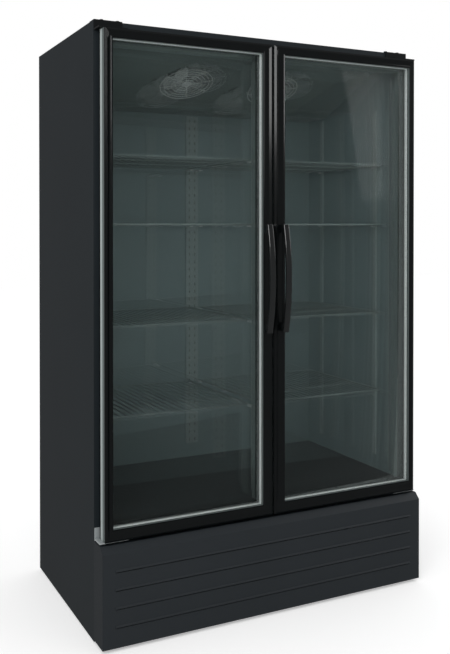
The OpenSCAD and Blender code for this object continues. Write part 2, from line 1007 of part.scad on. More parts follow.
module filter_drier() {
    color("#b5793f")
        translate([drier_x, drier_y, drier_z])
            rotate([-90, 0, 0]) {
                cylinder(r = drier_r, h = drier_len);
                translate([0, 0, -drier_cone])
                    cylinder(r1 = pipe_r + 1, r2 = drier_r, h = drier_cone);
                translate([0, 0, drier_len])
                    cylinder(r1 = drier_r, r2 = pipe_r + 1, h = drier_cone);
            }
}

module refrigerant_lines() {
    comp_top = floor_in + comp_lift + comp_h;
    out_y = drier_y + drier_len + drier_cone;
    suction_off = 30;
    suction_rise = 30;
    suction_run = 50;
    discharge_off = 20;
    discharge_rise = 14;
    discharge_back = 12;
    drier_run = 40;
    coil_back = 24;
    suction_x = comp_pos[0] - suction_off;
    suction_z = comp_top + suction_rise;
    discharge_x = comp_pos[0] + discharge_off;
    discharge_z = comp_top + discharge_rise;
    coil_x = cond_x + cond_w / 2 + 1.5;
    coil_y = cond_y1 - coil_back;
    hot_y = coil_y - discharge_back;
    color("#b5713c") {
        // from the coil to the drier
        pipe([coil_x, coil_y, drier_z], [0, 90, 0], drier_x - coil_x);
        pipe([drier_x, coil_y, drier_z], [-90, 0, 0], drier_y - drier_cone - coil_y, elbow = false);
        // from the drier up to the cabinet
        pipe([drier_x, out_y, drier_z], [-90, 0, 0], drier_run);
        pipe([drier_x, out_y + drier_run, drier_z], [0, 0, 0], compartment_z - drier_z, elbow = false);
        // from the cabinet down to the compressor's top
        pipe([suction_x, comp_y, comp_top], [0, 0, 0], suction_z - comp_top);
        pipe([suction_x, comp_y, suction_z], [0, -90, 0], suction_run);
        pipe([suction_x - suction_run, comp_y, suction_z], [0, 0, 0], compartment_z - suction_z, elbow = false);
        // from the compressor's top to the coil
        pipe([discharge_x, comp_y, comp_top], [0, 0, 0], discharge_z - comp_top);
        pipe([discharge_x, comp_y, discharge_z], [90, 0, 0], comp_y - hot_y);
        pipe([discharge_x, hot_y, discharge_z], [0, -90, 0], discharge_x - coil_x, elbow = false);
    }
}

module condensate_pan() {
    x = [-shell_x + pan_inset, cond_x - cond_w / 2 - pan_gap];
    y1 = rear_in_y - pan_gap - pan_clear;
    y = [y1 - pan_d, y1];
    z = [floor_in, floor_in + pan_h];
    color("#4d5456")
        difference() {
            block(x, y, z);
            block([x[0] + pan_t, x[1] - pan_t], [y[0] + pan_t, y[1] - pan_t], [z[0] + pan_t, z[1] + 1]);
        }
}

module control_box() {
    recess = [switch_w + 2 * slide_gap + 1, 12, switch_h + 5];
    color("#8a9193") {
        difference() {
            block([box_x0, box_x0 + box_w], [box_y0, box_y0 + box_d], [floor_in, floor_in + box_h]);
            // recess that the rocker sits in
            translate([knob_x, box_y0, switch_z])
                cube([recess[0], 2 * recess[1], recess[2]], center = true);
        }
        // spindle of the thermostat
        translate([knob_x, box_y0 + 5, knob_z])
            rotate([90, 0, 0])
                cylinder(r = spindle_r, h = knob_len + 2);
        // pivot that the rocker turns on
        translate([knob_x, box_y0 + switch_in, switch_z])
            rotate([0, 90, 0])
                cylinder(r = rocker_pin_r, h = switch_w + 4, center = true);
    }
}

module thermostat_knob() {
    skirt_t = 4;
    rib_w = 4;
    color("#202426")
        translate([knob_x, box_y0 - slide_gap, knob_z])
            rotate([90, 0, 0])
                difference() {
                    union() {
                        cylinder(r = knob_r, h = skirt_t);
                        cylinder(r = knob_r - 3, h = knob_len);
                        translate([-rib_w / 2, 0, 0])
                            cube([rib_w, knob_r - 0.5, knob_len]);
                    }
                    translate([0, 0, -1])
                        cylinder(r = spindle_r + run_gap, h = knob_len - 2);
                }
}

module light_switch() {
    depth = 10;
    color("#b02020")
        translate([knob_x, box_y0 + switch_in, switch_z])
            rotate([switch_tilt, 0, 0])
                difference() {
                    translate([-switch_w / 2, -switch_proud, -switch_h / 2])
                        cube([switch_w, depth, switch_h]);
                    rotate([0, 90, 0])
                        cylinder(r = rocker_pin_r + run_gap, h = switch_w + 2, center = true);
                }
}

// ---- Hinges ----

// Wraps over the top of the cabinet and carries the upper pin of the right door
module top_hinge() {
    leg_y = [front_y - hinge_leg_t, front_y];
    block([hinge_x0, shell_x], [hinge_plate_y, front_y], [high_plate_low, high_plate_low + hinge_t]);
    block([hinge_x0, shell_x], leg_y, [high_plate_low, cab_h + hinge_leg_t]);
    block([hinge_x0, shell_x], [leg_y[0], front_y + hinge_flange_d], [cab_h, cab_h + hinge_leg_t]);
    translate([pivot_x, pivot_y, door_top_z - pin_len])
        cylinder(r = pin_r, h = pin_len + hinge_gap + 1);
}

// Carries the lower pin of the right door, with a collar that the door rides on
module bottom_hinge() {
    leg_y = [front_y - hinge_leg_t, front_y];
    block([hinge_x0, shell_x], [hinge_plate_y, front_y], [low_plate_top - hinge_t, low_plate_top]);
    block([hinge_x0, shell_x], leg_y, [low_plate_top - hinge_leg_h, low_plate_top]);
    block([return_x, shell_x], leg_y, [low_plate_top - eps, low_plate_top + hinge_tab_h]);
    translate([pivot_x, pivot_y, low_plate_top - 1]) {
        cylinder(r = pin_r, h = pin_len + hinge_gap + 1);
        cylinder(r = collar_r, h = hinge_gap + 1 - slide_gap);
    }
}

module top_hinges() {
    color("#2a2d2f")
        both_sides()
            top_hinge();
}

module bottom_hinges() {
    color("#b9c0c2")
        both_sides()
            bottom_hinge();
}

module hinge_bolts() {
    head_r = bolt_af / 2 / cos(30);
    color("#1b1d1e")
        both_sides()
            for (x = bolt_x)
                translate([half_w - x, front_y + 14, cab_h + hinge_leg_t])
                    cylinder(r = head_r, h = bolt_head_h, $fn = 6);
}

// ---- Doors, drawn as the right door ----

module door_frame() {
    cut_y = [door_y[0] - 1, door_y[1] + 1];
    difference() {
        block(door_x, door_y, door_z);
        block(open_x, cut_y, open_z);
        block(pack_x, [pane_y, inner_pane_y + pane_t], pack_z);
        // hairline joints where the rails meet the stiles
        for (x = [open_x[0], open_x[1] - joint_gap])
            block([x, x + joint_gap], cut_y, [door_z[0] - 1, door_z[1] + 1]);
        // bores that the hinge pins run in
        for (z = [door_z[0] - 1, door_z[1] - bore_len])
            translate([pivot_x, pivot_y, z])
                cylinder(r = pin_r + run_gap, h = bore_len + 1);
    }
}

module door_glass() {
    for (y = [pane_y, inner_pane_y])
        block(pack_x, [y, y + pane_t], pack_z);
}

module door_spacer() {
    mitred_ring(pack_x, [spacer_y, inner_pane_y], pack_z, glass_bite + spacer_show);
}

module door_gasket() {
    mitred_ring(
        [door_x[0] + seal_inset, door_x[1] - seal_inset],
        [door_back_y, front_y - slide_gap],
        [door_z[0] + seal_inset, door_z[1] - seal_inset],
        seal_w
    );
}

// A shallow bow carried clear of the door on a post at each end
module door_handle() {
    rise = handle_reach - handle_end_reach;
    bow_r = (handle_len * handle_len / 4 + rise * rise) / (2 * rise);
    x = door_x[0] + handle_inset;
    side_x = [x - handle_w / 2, x + handle_w / 2];
    end_z = handle_len / 2;
    post_in = handle_t / 2;
    intersection() {
        translate([x, door_front_y - handle_reach + bow_r, handle_z])
            rotate([0, 90, 0])
                difference() {
                    cylinder(r = bow_r, h = handle_w, center = true, $fn = 360);
                    cylinder(r = bow_r - handle_t, h = handle_w + 2, center = true, $fn = 360);
                }
        block(
            [x - handle_w, x + handle_w],
            [door_front_y - handle_reach - 1, door_front_y],
            [handle_z - end_z, handle_z + end_z]
        );
    }
    for (z = [handle_z - end_z, handle_z + end_z - handle_post])
        block(side_x, [door_front_y - handle_end_reach + post_in, door_front_y], [z, z + handle_post]);
}

module left_door_frame() {
    color("#101416")
        mirror([1, 0, 0])
            door_frame();
}

module right_door_frame() {
    color("#101416")
        door_frame();
}

module left_door_glass() {
    color("#8fb0ae", 0.35)
        mirror([1, 0, 0])
            door_glass();
}

module right_door_glass() {
    color("#8fb0ae", 0.35)
        door_glass();
}

module left_door_spacer() {
    color("#c9d6d4")
        mirror([1, 0, 0])
            door_spacer();
}

module right_door_spacer() {
    color("#c9d6d4")
        door_spacer();
}

module left_door_gasket() {
    color("#0c0e0f")
        mirror([1, 0, 0])
            door_gasket();
}

module right_door_gasket() {
    color("#0c0e0f")
        door_gasket();
}

module left_handle() {
    color("#16181a")
        mirror([1, 0, 0])
            door_handle();
}

module right_handle() {
    color("#16181a")
        door_handle();
}

left_side_panel();
right_side_panel();
top_panel();
back_panel();
underfloor_panel();
insulation();
side_liners();
ceiling_liner();
back_liner();
deck();
front_frame();
mullion();
base_frame();
base_plate();
leveling_feet();
front_grille();
rear_grille();
power_inlet();
shelf_standards();
left_shelf(0);  // left_shelf_1
left_shelf(1);  // left_shelf_2
left_shelf(2);  // left_shelf_3
left_shelf(3);  // left_shelf_4
right_shelf(0);  // right_shelf_1
right_shelf(1);  // right_shelf_2
right_shelf(2);  // right_shelf_3
right_shelf(3);  // right_shelf_4
shelf_clips();
led_strips();
evaporator_cover();
evaporator_coil();
fan_guards();
evaporator_motors();
left_evaporator_fan();
right_evaporator_fan();
condenser_coil();
condenser_shroud();
condenser_motor();
condenser_fan();
compressor();
compressor_mount();
filter_drier();
refrigerant_lines();
condensate_pan();
control_box();
thermostat_knob();
light_switch();
top_hinges();
bottom_hinges();
hinge_bolts();
left_door_frame();
left_door_glass();
left_door_spacer();
left_door_gasket();
left_handle();
right_door_frame();
right_door_glass();
right_door_spacer();
right_door_gasket();
right_handle();
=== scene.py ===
import json
import math
import bmesh
import bpy
from mathutils import Euler, Matrix, Vector


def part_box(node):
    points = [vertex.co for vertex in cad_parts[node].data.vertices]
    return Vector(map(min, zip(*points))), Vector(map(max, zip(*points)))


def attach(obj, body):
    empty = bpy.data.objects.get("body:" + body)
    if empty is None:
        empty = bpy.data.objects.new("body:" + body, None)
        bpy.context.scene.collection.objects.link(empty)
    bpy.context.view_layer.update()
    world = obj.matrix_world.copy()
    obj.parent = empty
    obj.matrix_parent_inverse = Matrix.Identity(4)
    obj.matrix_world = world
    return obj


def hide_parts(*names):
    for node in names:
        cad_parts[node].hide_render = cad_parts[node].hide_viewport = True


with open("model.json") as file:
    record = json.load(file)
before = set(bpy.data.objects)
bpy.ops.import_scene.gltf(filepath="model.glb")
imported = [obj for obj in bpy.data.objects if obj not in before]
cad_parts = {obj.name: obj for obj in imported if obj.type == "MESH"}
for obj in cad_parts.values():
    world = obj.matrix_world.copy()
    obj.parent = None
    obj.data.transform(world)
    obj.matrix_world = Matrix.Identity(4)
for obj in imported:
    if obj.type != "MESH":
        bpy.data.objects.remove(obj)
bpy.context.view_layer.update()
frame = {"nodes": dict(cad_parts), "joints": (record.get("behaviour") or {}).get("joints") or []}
scene = bpy.context.scene
joints = {joint["name"]: joint for joint in frame["joints"]}
mm = 0.001
print("frame loaded")


def linked(name, data):
    made = bpy.data.objects.new(name, data)
    scene.collection.objects.link(made)
    return made


def linear(code):
    # an sRGB hex colour as linear RGBA
    channels = [int(code[i:i + 2], 16) / 255 for i in (1, 3, 5)]
    return [c / 12.92 if c <= 0.04045 else ((c + 0.055) / 1.055) ** 2.4 for c in channels] + [1.0]


def addNode(tree, kind, inputs=None, **options):
    # among the inputs, a node stands for its first output
    node = tree.nodes.new(kind)
    for option, value in options.items():
        setattr(node, option, value)
    for name, value in (inputs or {}).items():
        if isinstance(value, bpy.types.Node):
            value = value.outputs[0]
        if isinstance(value, bpy.types.NodeSocket):
            tree.links.new(value, node.inputs[name])
        else:
            node.inputs[name].default_value = value
    return node


def emptyTree(owner):
    owner.use_nodes = True
    owner.node_tree.nodes.clear()
    return owner.node_tree


def newMaterial(name, **settings):
    material = bpy.data.materials.new(name)
    tree = emptyTree(material)
    shader = addNode(tree, "ShaderNodeBsdfPrincipled", settings)
    addNode(tree, "ShaderNodeOutputMaterial", {"Surface": shader})
    place = addNode(tree, "ShaderNodeTexCoord").outputs["Object"]
    return material, tree, shader, place


def tinted(tree, shader, value, dark, light):
    # blends two colours by a pattern's value
    blend = addNode(tree, "ShaderNodeMix", {0: value, 6: linear(dark), 7: linear(light)}, data_type="RGBA")
    tree.links.new(blend.outputs[2], shader.inputs["Base Color"])


def ranged(tree, socket, value, low, high):
    span = addNode(tree, "ShaderNodeMapRange", {"Value": value, "To Min": low, "To Max": high})
    tree.links.new(span.outputs[0], socket)


def raised(tree, shader, height, depthMm):
    bump = addNode(tree, "ShaderNodeBump", {"Height": height, "Distance": depthMm * mm, "Strength": 1.0})
    tree.links.new(bump.outputs[0], shader.inputs["Normal"])


# sizes in mm of what every finish of a kind shares
pattern = {"cloud": 260, "haze": 160, "streakRelief": 0.02, "crystalRelief": 0.02}


def coated(name, dark, light, grain, rough, depth=0.05, metallic=0.0, coat=0.0):
    # paint, enamel or moulding: a broad soft cloud in the tone, and a fine even grain in the relief
    material, tree, shader, place = newMaterial(name, Metallic=metallic, IOR=1.5)
    shader.inputs["Coat Weight"].default_value = coat
    broad = addNode(tree, "ShaderNodeTexNoise",
                    {"Vector": place, "Scale": 1 / (pattern["cloud"] * mm), "Detail": 2})
    fine = addNode(tree, "ShaderNodeTexNoise", {"Vector": place, "Scale": 1 / (grain * mm), "Detail": 3})
    both = addNode(tree, "ShaderNodeMath", {0: broad, 1: fine}, operation="ADD")
    half = addNode(tree, "ShaderNodeMath", {0: both, 1: 0.5}, operation="MULTIPLY")
    tinted(tree, shader, half, dark, light)
    ranged(tree, shader.inputs["Roughness"], fine, *rough)
    raised(tree, shader, fine, depth)
    return material


def brushed(name, dark, light, grain, stretch, rough):
    # rolled or drawn metal, dulled a little by its oxide: streaks along the axis that is stretched least
    material, tree, shader, place = newMaterial(name, Metallic=0.65)
    streak = addNode(tree, "ShaderNodeMapping", {"Vector": place, "Scale": stretch})
    lines = addNode(tree, "ShaderNodeTexNoise", {"Vector": streak, "Scale": 1 / (grain * mm), "Detail": 4})
    tinted(tree, shader, lines, dark, light)
    ranged(tree, shader.inputs["Roughness"], lines, *rough)
    raised(tree, shader, lines, pattern["streakRelief"])
    return material


def spangled(name, dark, light, cell, rough):
    # hot dip galvanising, weathered dull: flat crystals, each of its own grey
    material, tree, shader, place = newMaterial(name, Metallic=0.4)
    crystals = addNode(tree, "ShaderNodeTexVoronoi", {"Vector": place, "Scale": 1 / (cell * mm)})
    grey = addNode(tree, "ShaderNodeRGBToBW", {"Color": crystals.outputs["Color"]})
    tinted(tree, shader, grey, dark, light)
    ranged(tree, shader.inputs["Roughness"], grey, *rough)
    raised(tree, shader, crystals, pattern["crystalRelief"])
    return material


def clearGlass(name, tint, rough, passing):
    # coated float glass: clear, slightly green, with a trace of haze where it has been wiped;
    # what its alpha leaves out lets the room light the inside
    material, tree, shader, place = newMaterial(name, IOR=1.5, Alpha=passing)
    shader.inputs["Transmission Weight"].default_value = 1.0
    shader.inputs["Base Color"].default_value = linear(tint)
    haze = addNode(tree, "ShaderNodeTexNoise",
                   {"Vector": place, "Scale": 1 / (pattern["haze"] * mm), "Detail": 2})
    ranged(tree, shader.inputs["Roughness"], haze, *rough)
    return material


# polyester powder coat on sheet steel: deep charcoal, low sheen, a fine orange peel
charcoalCoat = coated("charcoalPowderCoat", "#182025", "#20292e", 5, (0.42, 0.58), 0.06)
# the same coat on the lower grille, painted a shade lighter to stand in for the light that rakes it
grilleCoatPaintedLighter = coated("grillePowderCoatPaintedLighter", "#20262a", "#272d32", 5, (0.4, 0.55), 0.06)
# satin coated liner sheet: cool grey-green that takes soft light from the walls
linerCoat = coated("linerEnamel", "#708284", "#7e9193", 9, (0.34, 0.46), 0.03)
# darker wear-resistant deck sheet
deckCoat = coated("deckEnamel", "#2b3232", "#363e3e", 9, (0.38, 0.5), 0.04)
# epoxy coated housing of the evaporator
housingCoat = coated("housingEnamel", "#5d6a69", "#6a7775", 9, (0.36, 0.48), 0.03)
# extruded rigid vinyl round the openings: the liner's grey-green, softly shiny
frameVinyl = coated("rigidVinylExtrusion", "#6c7b79", "#788785", 4, (0.38, 0.5), 0.03)
# moulded ABS with a fine spark-eroded texture
blackPlastic = coated("mouldedPlastic", "#131618", "#1c2022", 2.5, (0.42, 0.56), 0.05)
# polished moulded grip: black with a clear soft highlight
gripPlastic = coated("polishedNylonGrip", "#0b0d0e", "#121516", 3, (0.16, 0.24), 0.01, coat=1.0)
# black anodised extrusion: near black with a faint metal sheen
blackAnodised = coated("blackAnodisedAluminium", "#07090a", "#0d1112", 3, (0.12, 0.19), 0.01, metallic=0.2)
# soft magnetic seal, matt black
sealRubber = coated("vinylSeal", "#0b0c0d", "#141617", 3, (0.66, 0.8), 0.05)
# vulcanised rubber of the mounts
mountRubber = coated("vulcanisedRubber", "#101011", "#1a1a1b", 3, (0.75, 0.88), 0.08)
# enamel: satin charcoal on the motors, and a black gloss on the compressor
motorEnamel = coated("motorEnamel", "#24292b", "#30363a", 4, (0.3, 0.42), 0.05)
compressorEnamel = coated("blackGlossEnamel", "#08090a", "#101213", 6, (0.14, 0.24), 0.04, coat=0.4)
# epoxy dipped wire, softly shiny: grey-green on the shelves, pale on the fan guards
wireCoat = coated("epoxyCoatedWire", "#6b7877", "#798685", 4, (0.3, 0.42), 0.05)
guardCoat = coated("guardWireCoat", "#c9d1d0", "#d9e0de", 4, (0.3, 0.4), 0.05)
# slotted uprights in the same coat, a little greener, and the shade in their slots
uprightCoat = coated("uprightCoat", "#8a9896", "#99a6a4", 6, (0.34, 0.46), 0.04)
slotShade = coated("slotShade", "#1c2222", "#262d2d", 4, (0.6, 0.7), 0.02)
# moulded nylon of the evaporator fans: pale grey, satin
fanPlastic = coated("fanNylon", "#a9b3b1", "#b8c1bf", 4, (0.42, 0.54), 0.04)
# frosted lens of the light strips, switched off: milky and dull
frostedLens = coated("frostedLens", "#8f9b9a", "#9ca8a7", 3, (0.45, 0.6), 0.03)
# polished moulding of the rocker: deep red with a clear highlight
redRocker = coated("redRockerPlastic", "#8f1818", "#a42020", 2, (0.22, 0.3), 0.02)
# rigid foam, open cells on the cut face
foamCore = coated("polyurethaneFoam", "#cdbb82", "#dccd9a", 3, (0.8, 0.95), 0.3)
# moulded dial, near black and satin, with a pale filled line
dialPlastic = coated("dialPlastic", "#1a1d1f", "#24282a", 2, (0.36, 0.46), 0.03)
indexMark = coated("indexMark", "#c9cdcd", "#d8dbdb", 2, (0.4, 0.5), 0.02)
# anodised extrusions: a pale satin band on the doors' outer edge, painted as a highlight, and duller grey on
# lips and channels
doorEdgeHighlight = coated("satinAluminiumEdgePaintedHighlight", "#bcc6c5", "#ccd5d4", 3, (0.36, 0.46), 0.02, metallic=0.3)
dullEdge = coated("anodisedAluminiumEdge", "#6a7373", "#798281", 3, (0.38, 0.5), 0.02, metallic=0.3)
# mill-finish spacer bar, its pale aluminium painted near white and almost without metal sheen: a painted
# highlight where its inner side shows through the pane
spacerPaintedHighlight = coated("spacerAluminiumPaintedHighlight", "#e6efed", "#f4f9f8", 6, (0.4, 0.5), 0.02, metallic=0.1)
# rolled sheet: fins streaked from top to bottom, and brighter pressed blades
finMetal = brushed("finAluminium", "#9ca4a5", "#bcc3c4", 2, (1, 1, 0.1), (0.3, 0.45))
fanMetal = brushed("pressedAluminium", "#8f9799", "#aab1b2", 2.5, (1, 0.2, 1), (0.32, 0.44))
# zinc plate: bright and slightly cloudy, or black with a dull metal sheen
brightZinc = coated("brightZincPlate", "#b3babc", "#cdd3d4", 7, (0.28, 0.4), 0.02, metallic=0.4)
blackZinc = coated("blackZincPlate", "#17191a", "#212426", 4, (0.3, 0.42), 0.03, metallic=0.5)
# drawn copper with a brown bloom
drawnCopper = brushed("drawnCopper", "#8a5433", "#b9754c", 9, (1, 1, 1), (0.22, 0.42))
# galvanised sheet with visible crystals, and darker, finer ones on the rails
galvanised = spangled("galvanisedSheet", "#7f8688", "#a3a9ab", 11, (0.3, 0.5))
railSteel = spangled("galvanisedRail", "#666d6f", "#868c8e", 8, (0.36, 0.54))
# black dip coat on the condenser's fins, dull
finCoat = coated("blackFinCoat", "#15191a", "#1f2426", 3, (0.5, 0.62), 0.04)
# float glass: faintly green, almost clean
doorGlass = clearGlass("clearFloatGlass", "#e9f3f1", (0.0, 0.02), 0.2)
# butyl behind the spacer, black and dull
sealantBlack = coated("butylSealant", "#0a0c0d", "#121516", 3, (0.5, 0.62), 0.03)
print("finishes made")


def boxOf(node):
    # a node's lowest and highest corners, in mm
    return [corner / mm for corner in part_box(node)]


def boxInto(bm, low, high, bevel=0.0, steps=1, material=0):
    # a box between two corners, its edges rounded by a bevel, all in mm
    made = bmesh.ops.create_cube(bm, size=1.0)["verts"]
    for vert in made:
        vert.co = Vector([low[i] + (vert.co[i] + 0.5) * (high[i] - low[i]) for i in range(3)]) * mm
    for face in {f for v in made for f in v.link_faces}:
        face.material_index = material
    if bevel:
        edges = list(dict.fromkeys(e for v in made for e in v.link_edges))
        bmesh.ops.bevel(bm, geom=edges, offset=bevel * mm, segments=steps, profile=0.5,
                        affect="EDGES", clamp_overlap=True, material=material)


def towards(axis):
    # the turn that brings Z onto an axis
    return Vector((0, 0, 1)).rotation_difference(Vector(axis)).to_matrix().to_4x4()


def placed(x, y, z, turn=Matrix()):
    # a place in mm, with its turn
    return Matrix.Translation(Vector((x, y, z)) * mm) @ turn


def latheInto(bm, profile, place, sides=32, closed=False):
    # turns a profile of (radius, height) in mm about the place's Z
    rings = []
    for radius, height in profile:
        count = sides if radius > 1e-6 else 1
        turns = [2 * math.pi * i / sides for i in range(count)]
        rings.append([bm.verts.new(place @ Vector((radius * mm * math.cos(t), radius * mm * math.sin(t),
                                                   height * mm))) for t in turns])
    pairs = list(zip(rings, rings[1:])) + ([(rings[-1], rings[0])] if closed else [])
    for a, b in pairs:
        for i in range(sides):
            j = (i + 1) % sides
            corners = list(dict.fromkeys([a[i % len(a)], a[j % len(a)], b[j % len(b)], b[i % len(b)]]))
            if len(corners) > 2:
                bm.faces.new(corners)


def softened(points, radius, steps=5):
    # a path in mm with its corners rounded
    path = [Vector(points[0])]
    for before, corner, after in zip(points, points[1:], points[2:]):
        corner = Vector(corner)
        inward, outward = (Vector(before) - corner), (Vector(after) - corner)
        reach = min(radius, inward.length * 0.49, outward.length * 0.49)
        start, end = corner + inward.normalized() * reach, corner + outward.normalized() * reach
        for i in range(steps + 1):
            t = i / steps
            path.append(start * (1 - t) ** 2 + corner * 2 * t * (1 - t) + end * t * t)
    path.append(Vector(points[-1]))
    return path


def tubeInto(bm, path, radius, sides=10, material=0, closed=False):
    # a round tube in mm along a path
    path = [Vector(p) for p in path]
    count = len(path)
    across = None
    rings = []
    for i, point in enumerate(path):
        if closed:
            along = path[(i + 1) % count] - path[i - 1]
        else:
            along = path[min(i + 1, count - 1)] - path[max(i - 1, 0)]
        along.normalize()
        if across is None:
            across = along.orthogonal().normalized()
        across = (across - along * across.dot(along)).normalized()
        over = along.cross(across)
        rings.append([bm.verts.new((point + (across * math.cos(t) + over * math.sin(t)) * radius) * mm)
                      for t in (2 * math.pi * k / sides for k in range(sides))])
    for i in range(count if closed else count - 1):
        a, b = rings[i], rings[(i + 1) % count]
        shift = 0
        if closed and i == count - 1:
            shift = min(range(sides), key=lambda s: (a[0].co - b[s].co).length)
        for k in range(sides):
            n = (k + 1) % sides
            wall = (a[k], a[n], b[(n + shift) % sides], b[(k + shift) % sides])
            bm.faces.new(wall).material_index = material
    if not closed:
        for ring in (rings[0], rings[-1]):
            bm.faces.new(ring).material_index = material


def ringInto(bm, low, high, profile, looks, widths=(0, 0, 0, 0)):
    # carries a profile of (share of the bar's width, inward, back) round an upright rectangle, all in mm;
    # the widths are those of the left, right, bottom and top bars
    left, right, bottom, top = widths
    corners = [(low.x, low.z, 1, 1, left, bottom), (high.x, low.z, -1, 1, right, bottom),
               (high.x, high.z, -1, -1, right, top), (low.x, high.z, 1, -1, left, top)]
    rings = [[bm.verts.new(Vector((x + sx * (share * wx + u), low.y + v, z + sz * (share * wz + u))) * mm)
              for share, u, v in profile] for x, z, sx, sz, wx, wz in corners]
    for i in range(4):
        a, b = rings[i], rings[(i + 1) % 4]
        for k in range(len(profile)):
            n = (k + 1) % len(profile)
            bm.faces.new((a[k], a[n], b[n], b[k])).material_index = looks[k]


def hollowCurve(start, end, deep, steps, turn=0.75):
    # an arc through that turn in radians, between two shares of a bar's width: it leaves the groove level
    # and climbs to the face
    points = []
    for i in range(steps + 1):
        angle = turn * i / steps
        points.append((start + (end - start) * math.sin(angle) / math.sin(turn), 0,
                       deep * (1 - (1 - math.cos(angle)) / (1 - math.cos(turn)))))
    return points


def plainMesh(bm):
    mesh = bpy.data.meshes.new("shape")
    bm.to_mesh(mesh)
    bm.free()
    return mesh


def asMesh(bm, smooth=35):
    bmesh.ops.recalc_face_normals(bm, faces=bm.faces)
    mesh = plainMesh(bm)
    for polygon in mesh.polygons:
        polygon.use_smooth = True
    mesh.set_sharp_from_angle(angle=math.radians(smooth))
    return mesh


def turned(profile, place, sides=32, smooth=35, closed=False):
    # a mesh of one turned profile
    bm = bmesh.new()
    latheInto(bm, profile, place, sides, closed)
    return asMesh(bm, smooth)


def piped(path, radius, sides=8):
    # a mesh of one tube
    bm = bmesh.new()
    tubeInto(bm, path, radius, sides)
    return asMesh(bm)


def joined(meshes, accent=None, smooth=None):
    # one mesh of several; the accent is a further one that takes the second material
    bm = bmesh.new()
    for mesh in meshes:
        bm.from_mesh(mesh)
    if accent:
        plain = len(bm.faces)
        bm.from_mesh(accent)
        bm.faces.ensure_lookup_table()
        for face in bm.faces[plain:]:
            face.material_index = 1
    mesh = plainMesh(bm)
    if smooth:
        mesh.set_sharp_from_angle(angle=math.radians(smooth))
    return mesh


def addPiece(name, mesh, materials, node=None, body="cabinet"):
    # clearing the materials would reset the faces' own choice of them
    chosen = [0] * len(mesh.polygons)
    mesh.polygons.foreach_get("material_index", chosen)
    mesh.materials.clear()
    for material in materials:
        mesh.materials.append(material)
    mesh.polygons.foreach_set("material_index", chosen)
    mesh.name = name
    piece = linked(name, mesh)
    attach(piece, body)
    if node:
        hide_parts(node)


def dress(material, *nodes):
    # gives carried-over solids their finish
    for node in nodes:
        mesh = frame["nodes"][node].data
        mesh.materials.clear()
        mesh.materials.append(material)


def newTree(name, **inputs):
    # a tree whose inputs take their kind from their first values
    kinds = {int: "NodeSocketInt", float: "NodeSocketFloat", tuple: "NodeSocketVector",
             Euler: "NodeSocketRotation"}
    tree = bpy.data.node_groups.new(name, "GeometryNodeTree")
    tree.interface.new_socket("Geometry", in_out="INPUT", socket_type="NodeSocketGeometry")
    for label, value in inputs.items():
        tree.interface.new_socket(label, in_out="INPUT", socket_type=kinds[type(value)]).default_value = value
    tree.interface.new_socket("Material", in_out="INPUT", socket_type="NodeSocketMaterial")
    tree.interface.new_socket("Geometry", in_out="OUTPUT", socket_type="NodeSocketGeometry")
    return tree, addNode(tree, "NodeGroupInput").outputs


def closeTree(tree, given, shape):
    # sets the shape at its centre where the tree has one, and makes its copies real
    setting = {"Translation": "Centre", "Rotation": "Turn"}
    setting = {name: given[label] for name, label in setting.items() if label in given}
    if setting:
        shape = addNode(tree, "GeometryNodeTransform", {"Geometry": shape, **setting})
    whole = addNode(tree, "GeometryNodeRealizeInstances", {0: shape})
    finish = addNode(tree, "GeometryNodeSetMaterial", {0: whole, "Material": given["Material"]})
    addNode(tree, "NodeGroupOutput", {0: finish})
    return tree


def numbered(tree, given):
    # a point for each copy, all at the origin, and its number
    points = addNode(tree, "GeometryNodeMeshLine",
                     {"Count": given["Count"], "Offset": (0, 0, 0)}, mode="OFFSET")
    return points, addNode(tree, "GeometryNodeInputIndex")


def makeRowTree():
    # copies the object's own mesh along a straight row
    tree, given = newTree("evenRow", Count=2, Start=(0, 0, 0), Step=(0, 0, 0))
    line = addNode(tree, "GeometryNodeMeshLine",
                   {"Count": given["Count"], "Start Location": given["Start"], "Offset": given["Step"]},
                   mode="OFFSET")
    copies = addNode(tree, "GeometryNodeInstanceOnPoints", {"Points": line, "Instance": given["Geometry"]})
    return closeTree(tree, given, copies)


def makeWheelTree():
    # copies the object's own mesh round an axis, then sets the wheel in its place
    tree, given = newTree("evenWheel", Count=4, First=0.0, Centre=(0, 0, 0), Turn=Euler())
    points, index = numbered(tree, given)
    share = addNode(tree, "ShaderNodeMath", {0: index, 1: given["Count"]}, operation="DIVIDE")
    angle = addNode(tree, "ShaderNodeMath", {0: share, 1: 2 * math.pi, 2: given["First"]},
                    operation="MULTIPLY_ADD")
    turn = addNode(tree, "ShaderNodeCombineXYZ", {"Z": angle})
    copies = addNode(tree, "GeometryNodeInstanceOnPoints",
                     {"Points": points, "Instance": given["Geometry"], "Rotation": turn})
    return closeTree(tree, given, copies)


def makeRingTree():
    # concentric wire rings, evenly spaced
    tree, given = newTree("wireRings", Count=5, Inner=0.03, Pitch=0.015, Wire=0.0015, Centre=(0, 0, 0),
                          Turn=Euler())
    points, index = numbered(tree, given)
    size = addNode(tree, "ShaderNodeMath", {0: index, 1: given["Pitch"], 2: given["Inner"]},
                   operation="MULTIPLY_ADD")
    scale = addNode(tree, "ShaderNodeCombineXYZ", {"X": size, "Y": size, "Z": 1.0})
    circle = addNode(tree, "GeometryNodeCurvePrimitiveCircle", {"Resolution": 40, "Radius": 1.0})
    copies = addNode(tree, "GeometryNodeInstanceOnPoints",
                     {"Points": points, "Instance": circle, "Scale": scale})
    real = addNode(tree, "GeometryNodeRealizeInstances", {0: copies})
    wire = addNode(tree, "GeometryNodeCurvePrimitiveCircle", {"Resolution": 8, "Radius": given["Wire"]})
    swept = addNode(tree, "GeometryNodeCurveToMesh", {"Curve": real, "Profile Curve": wire})
    return closeTree(tree, given, swept)


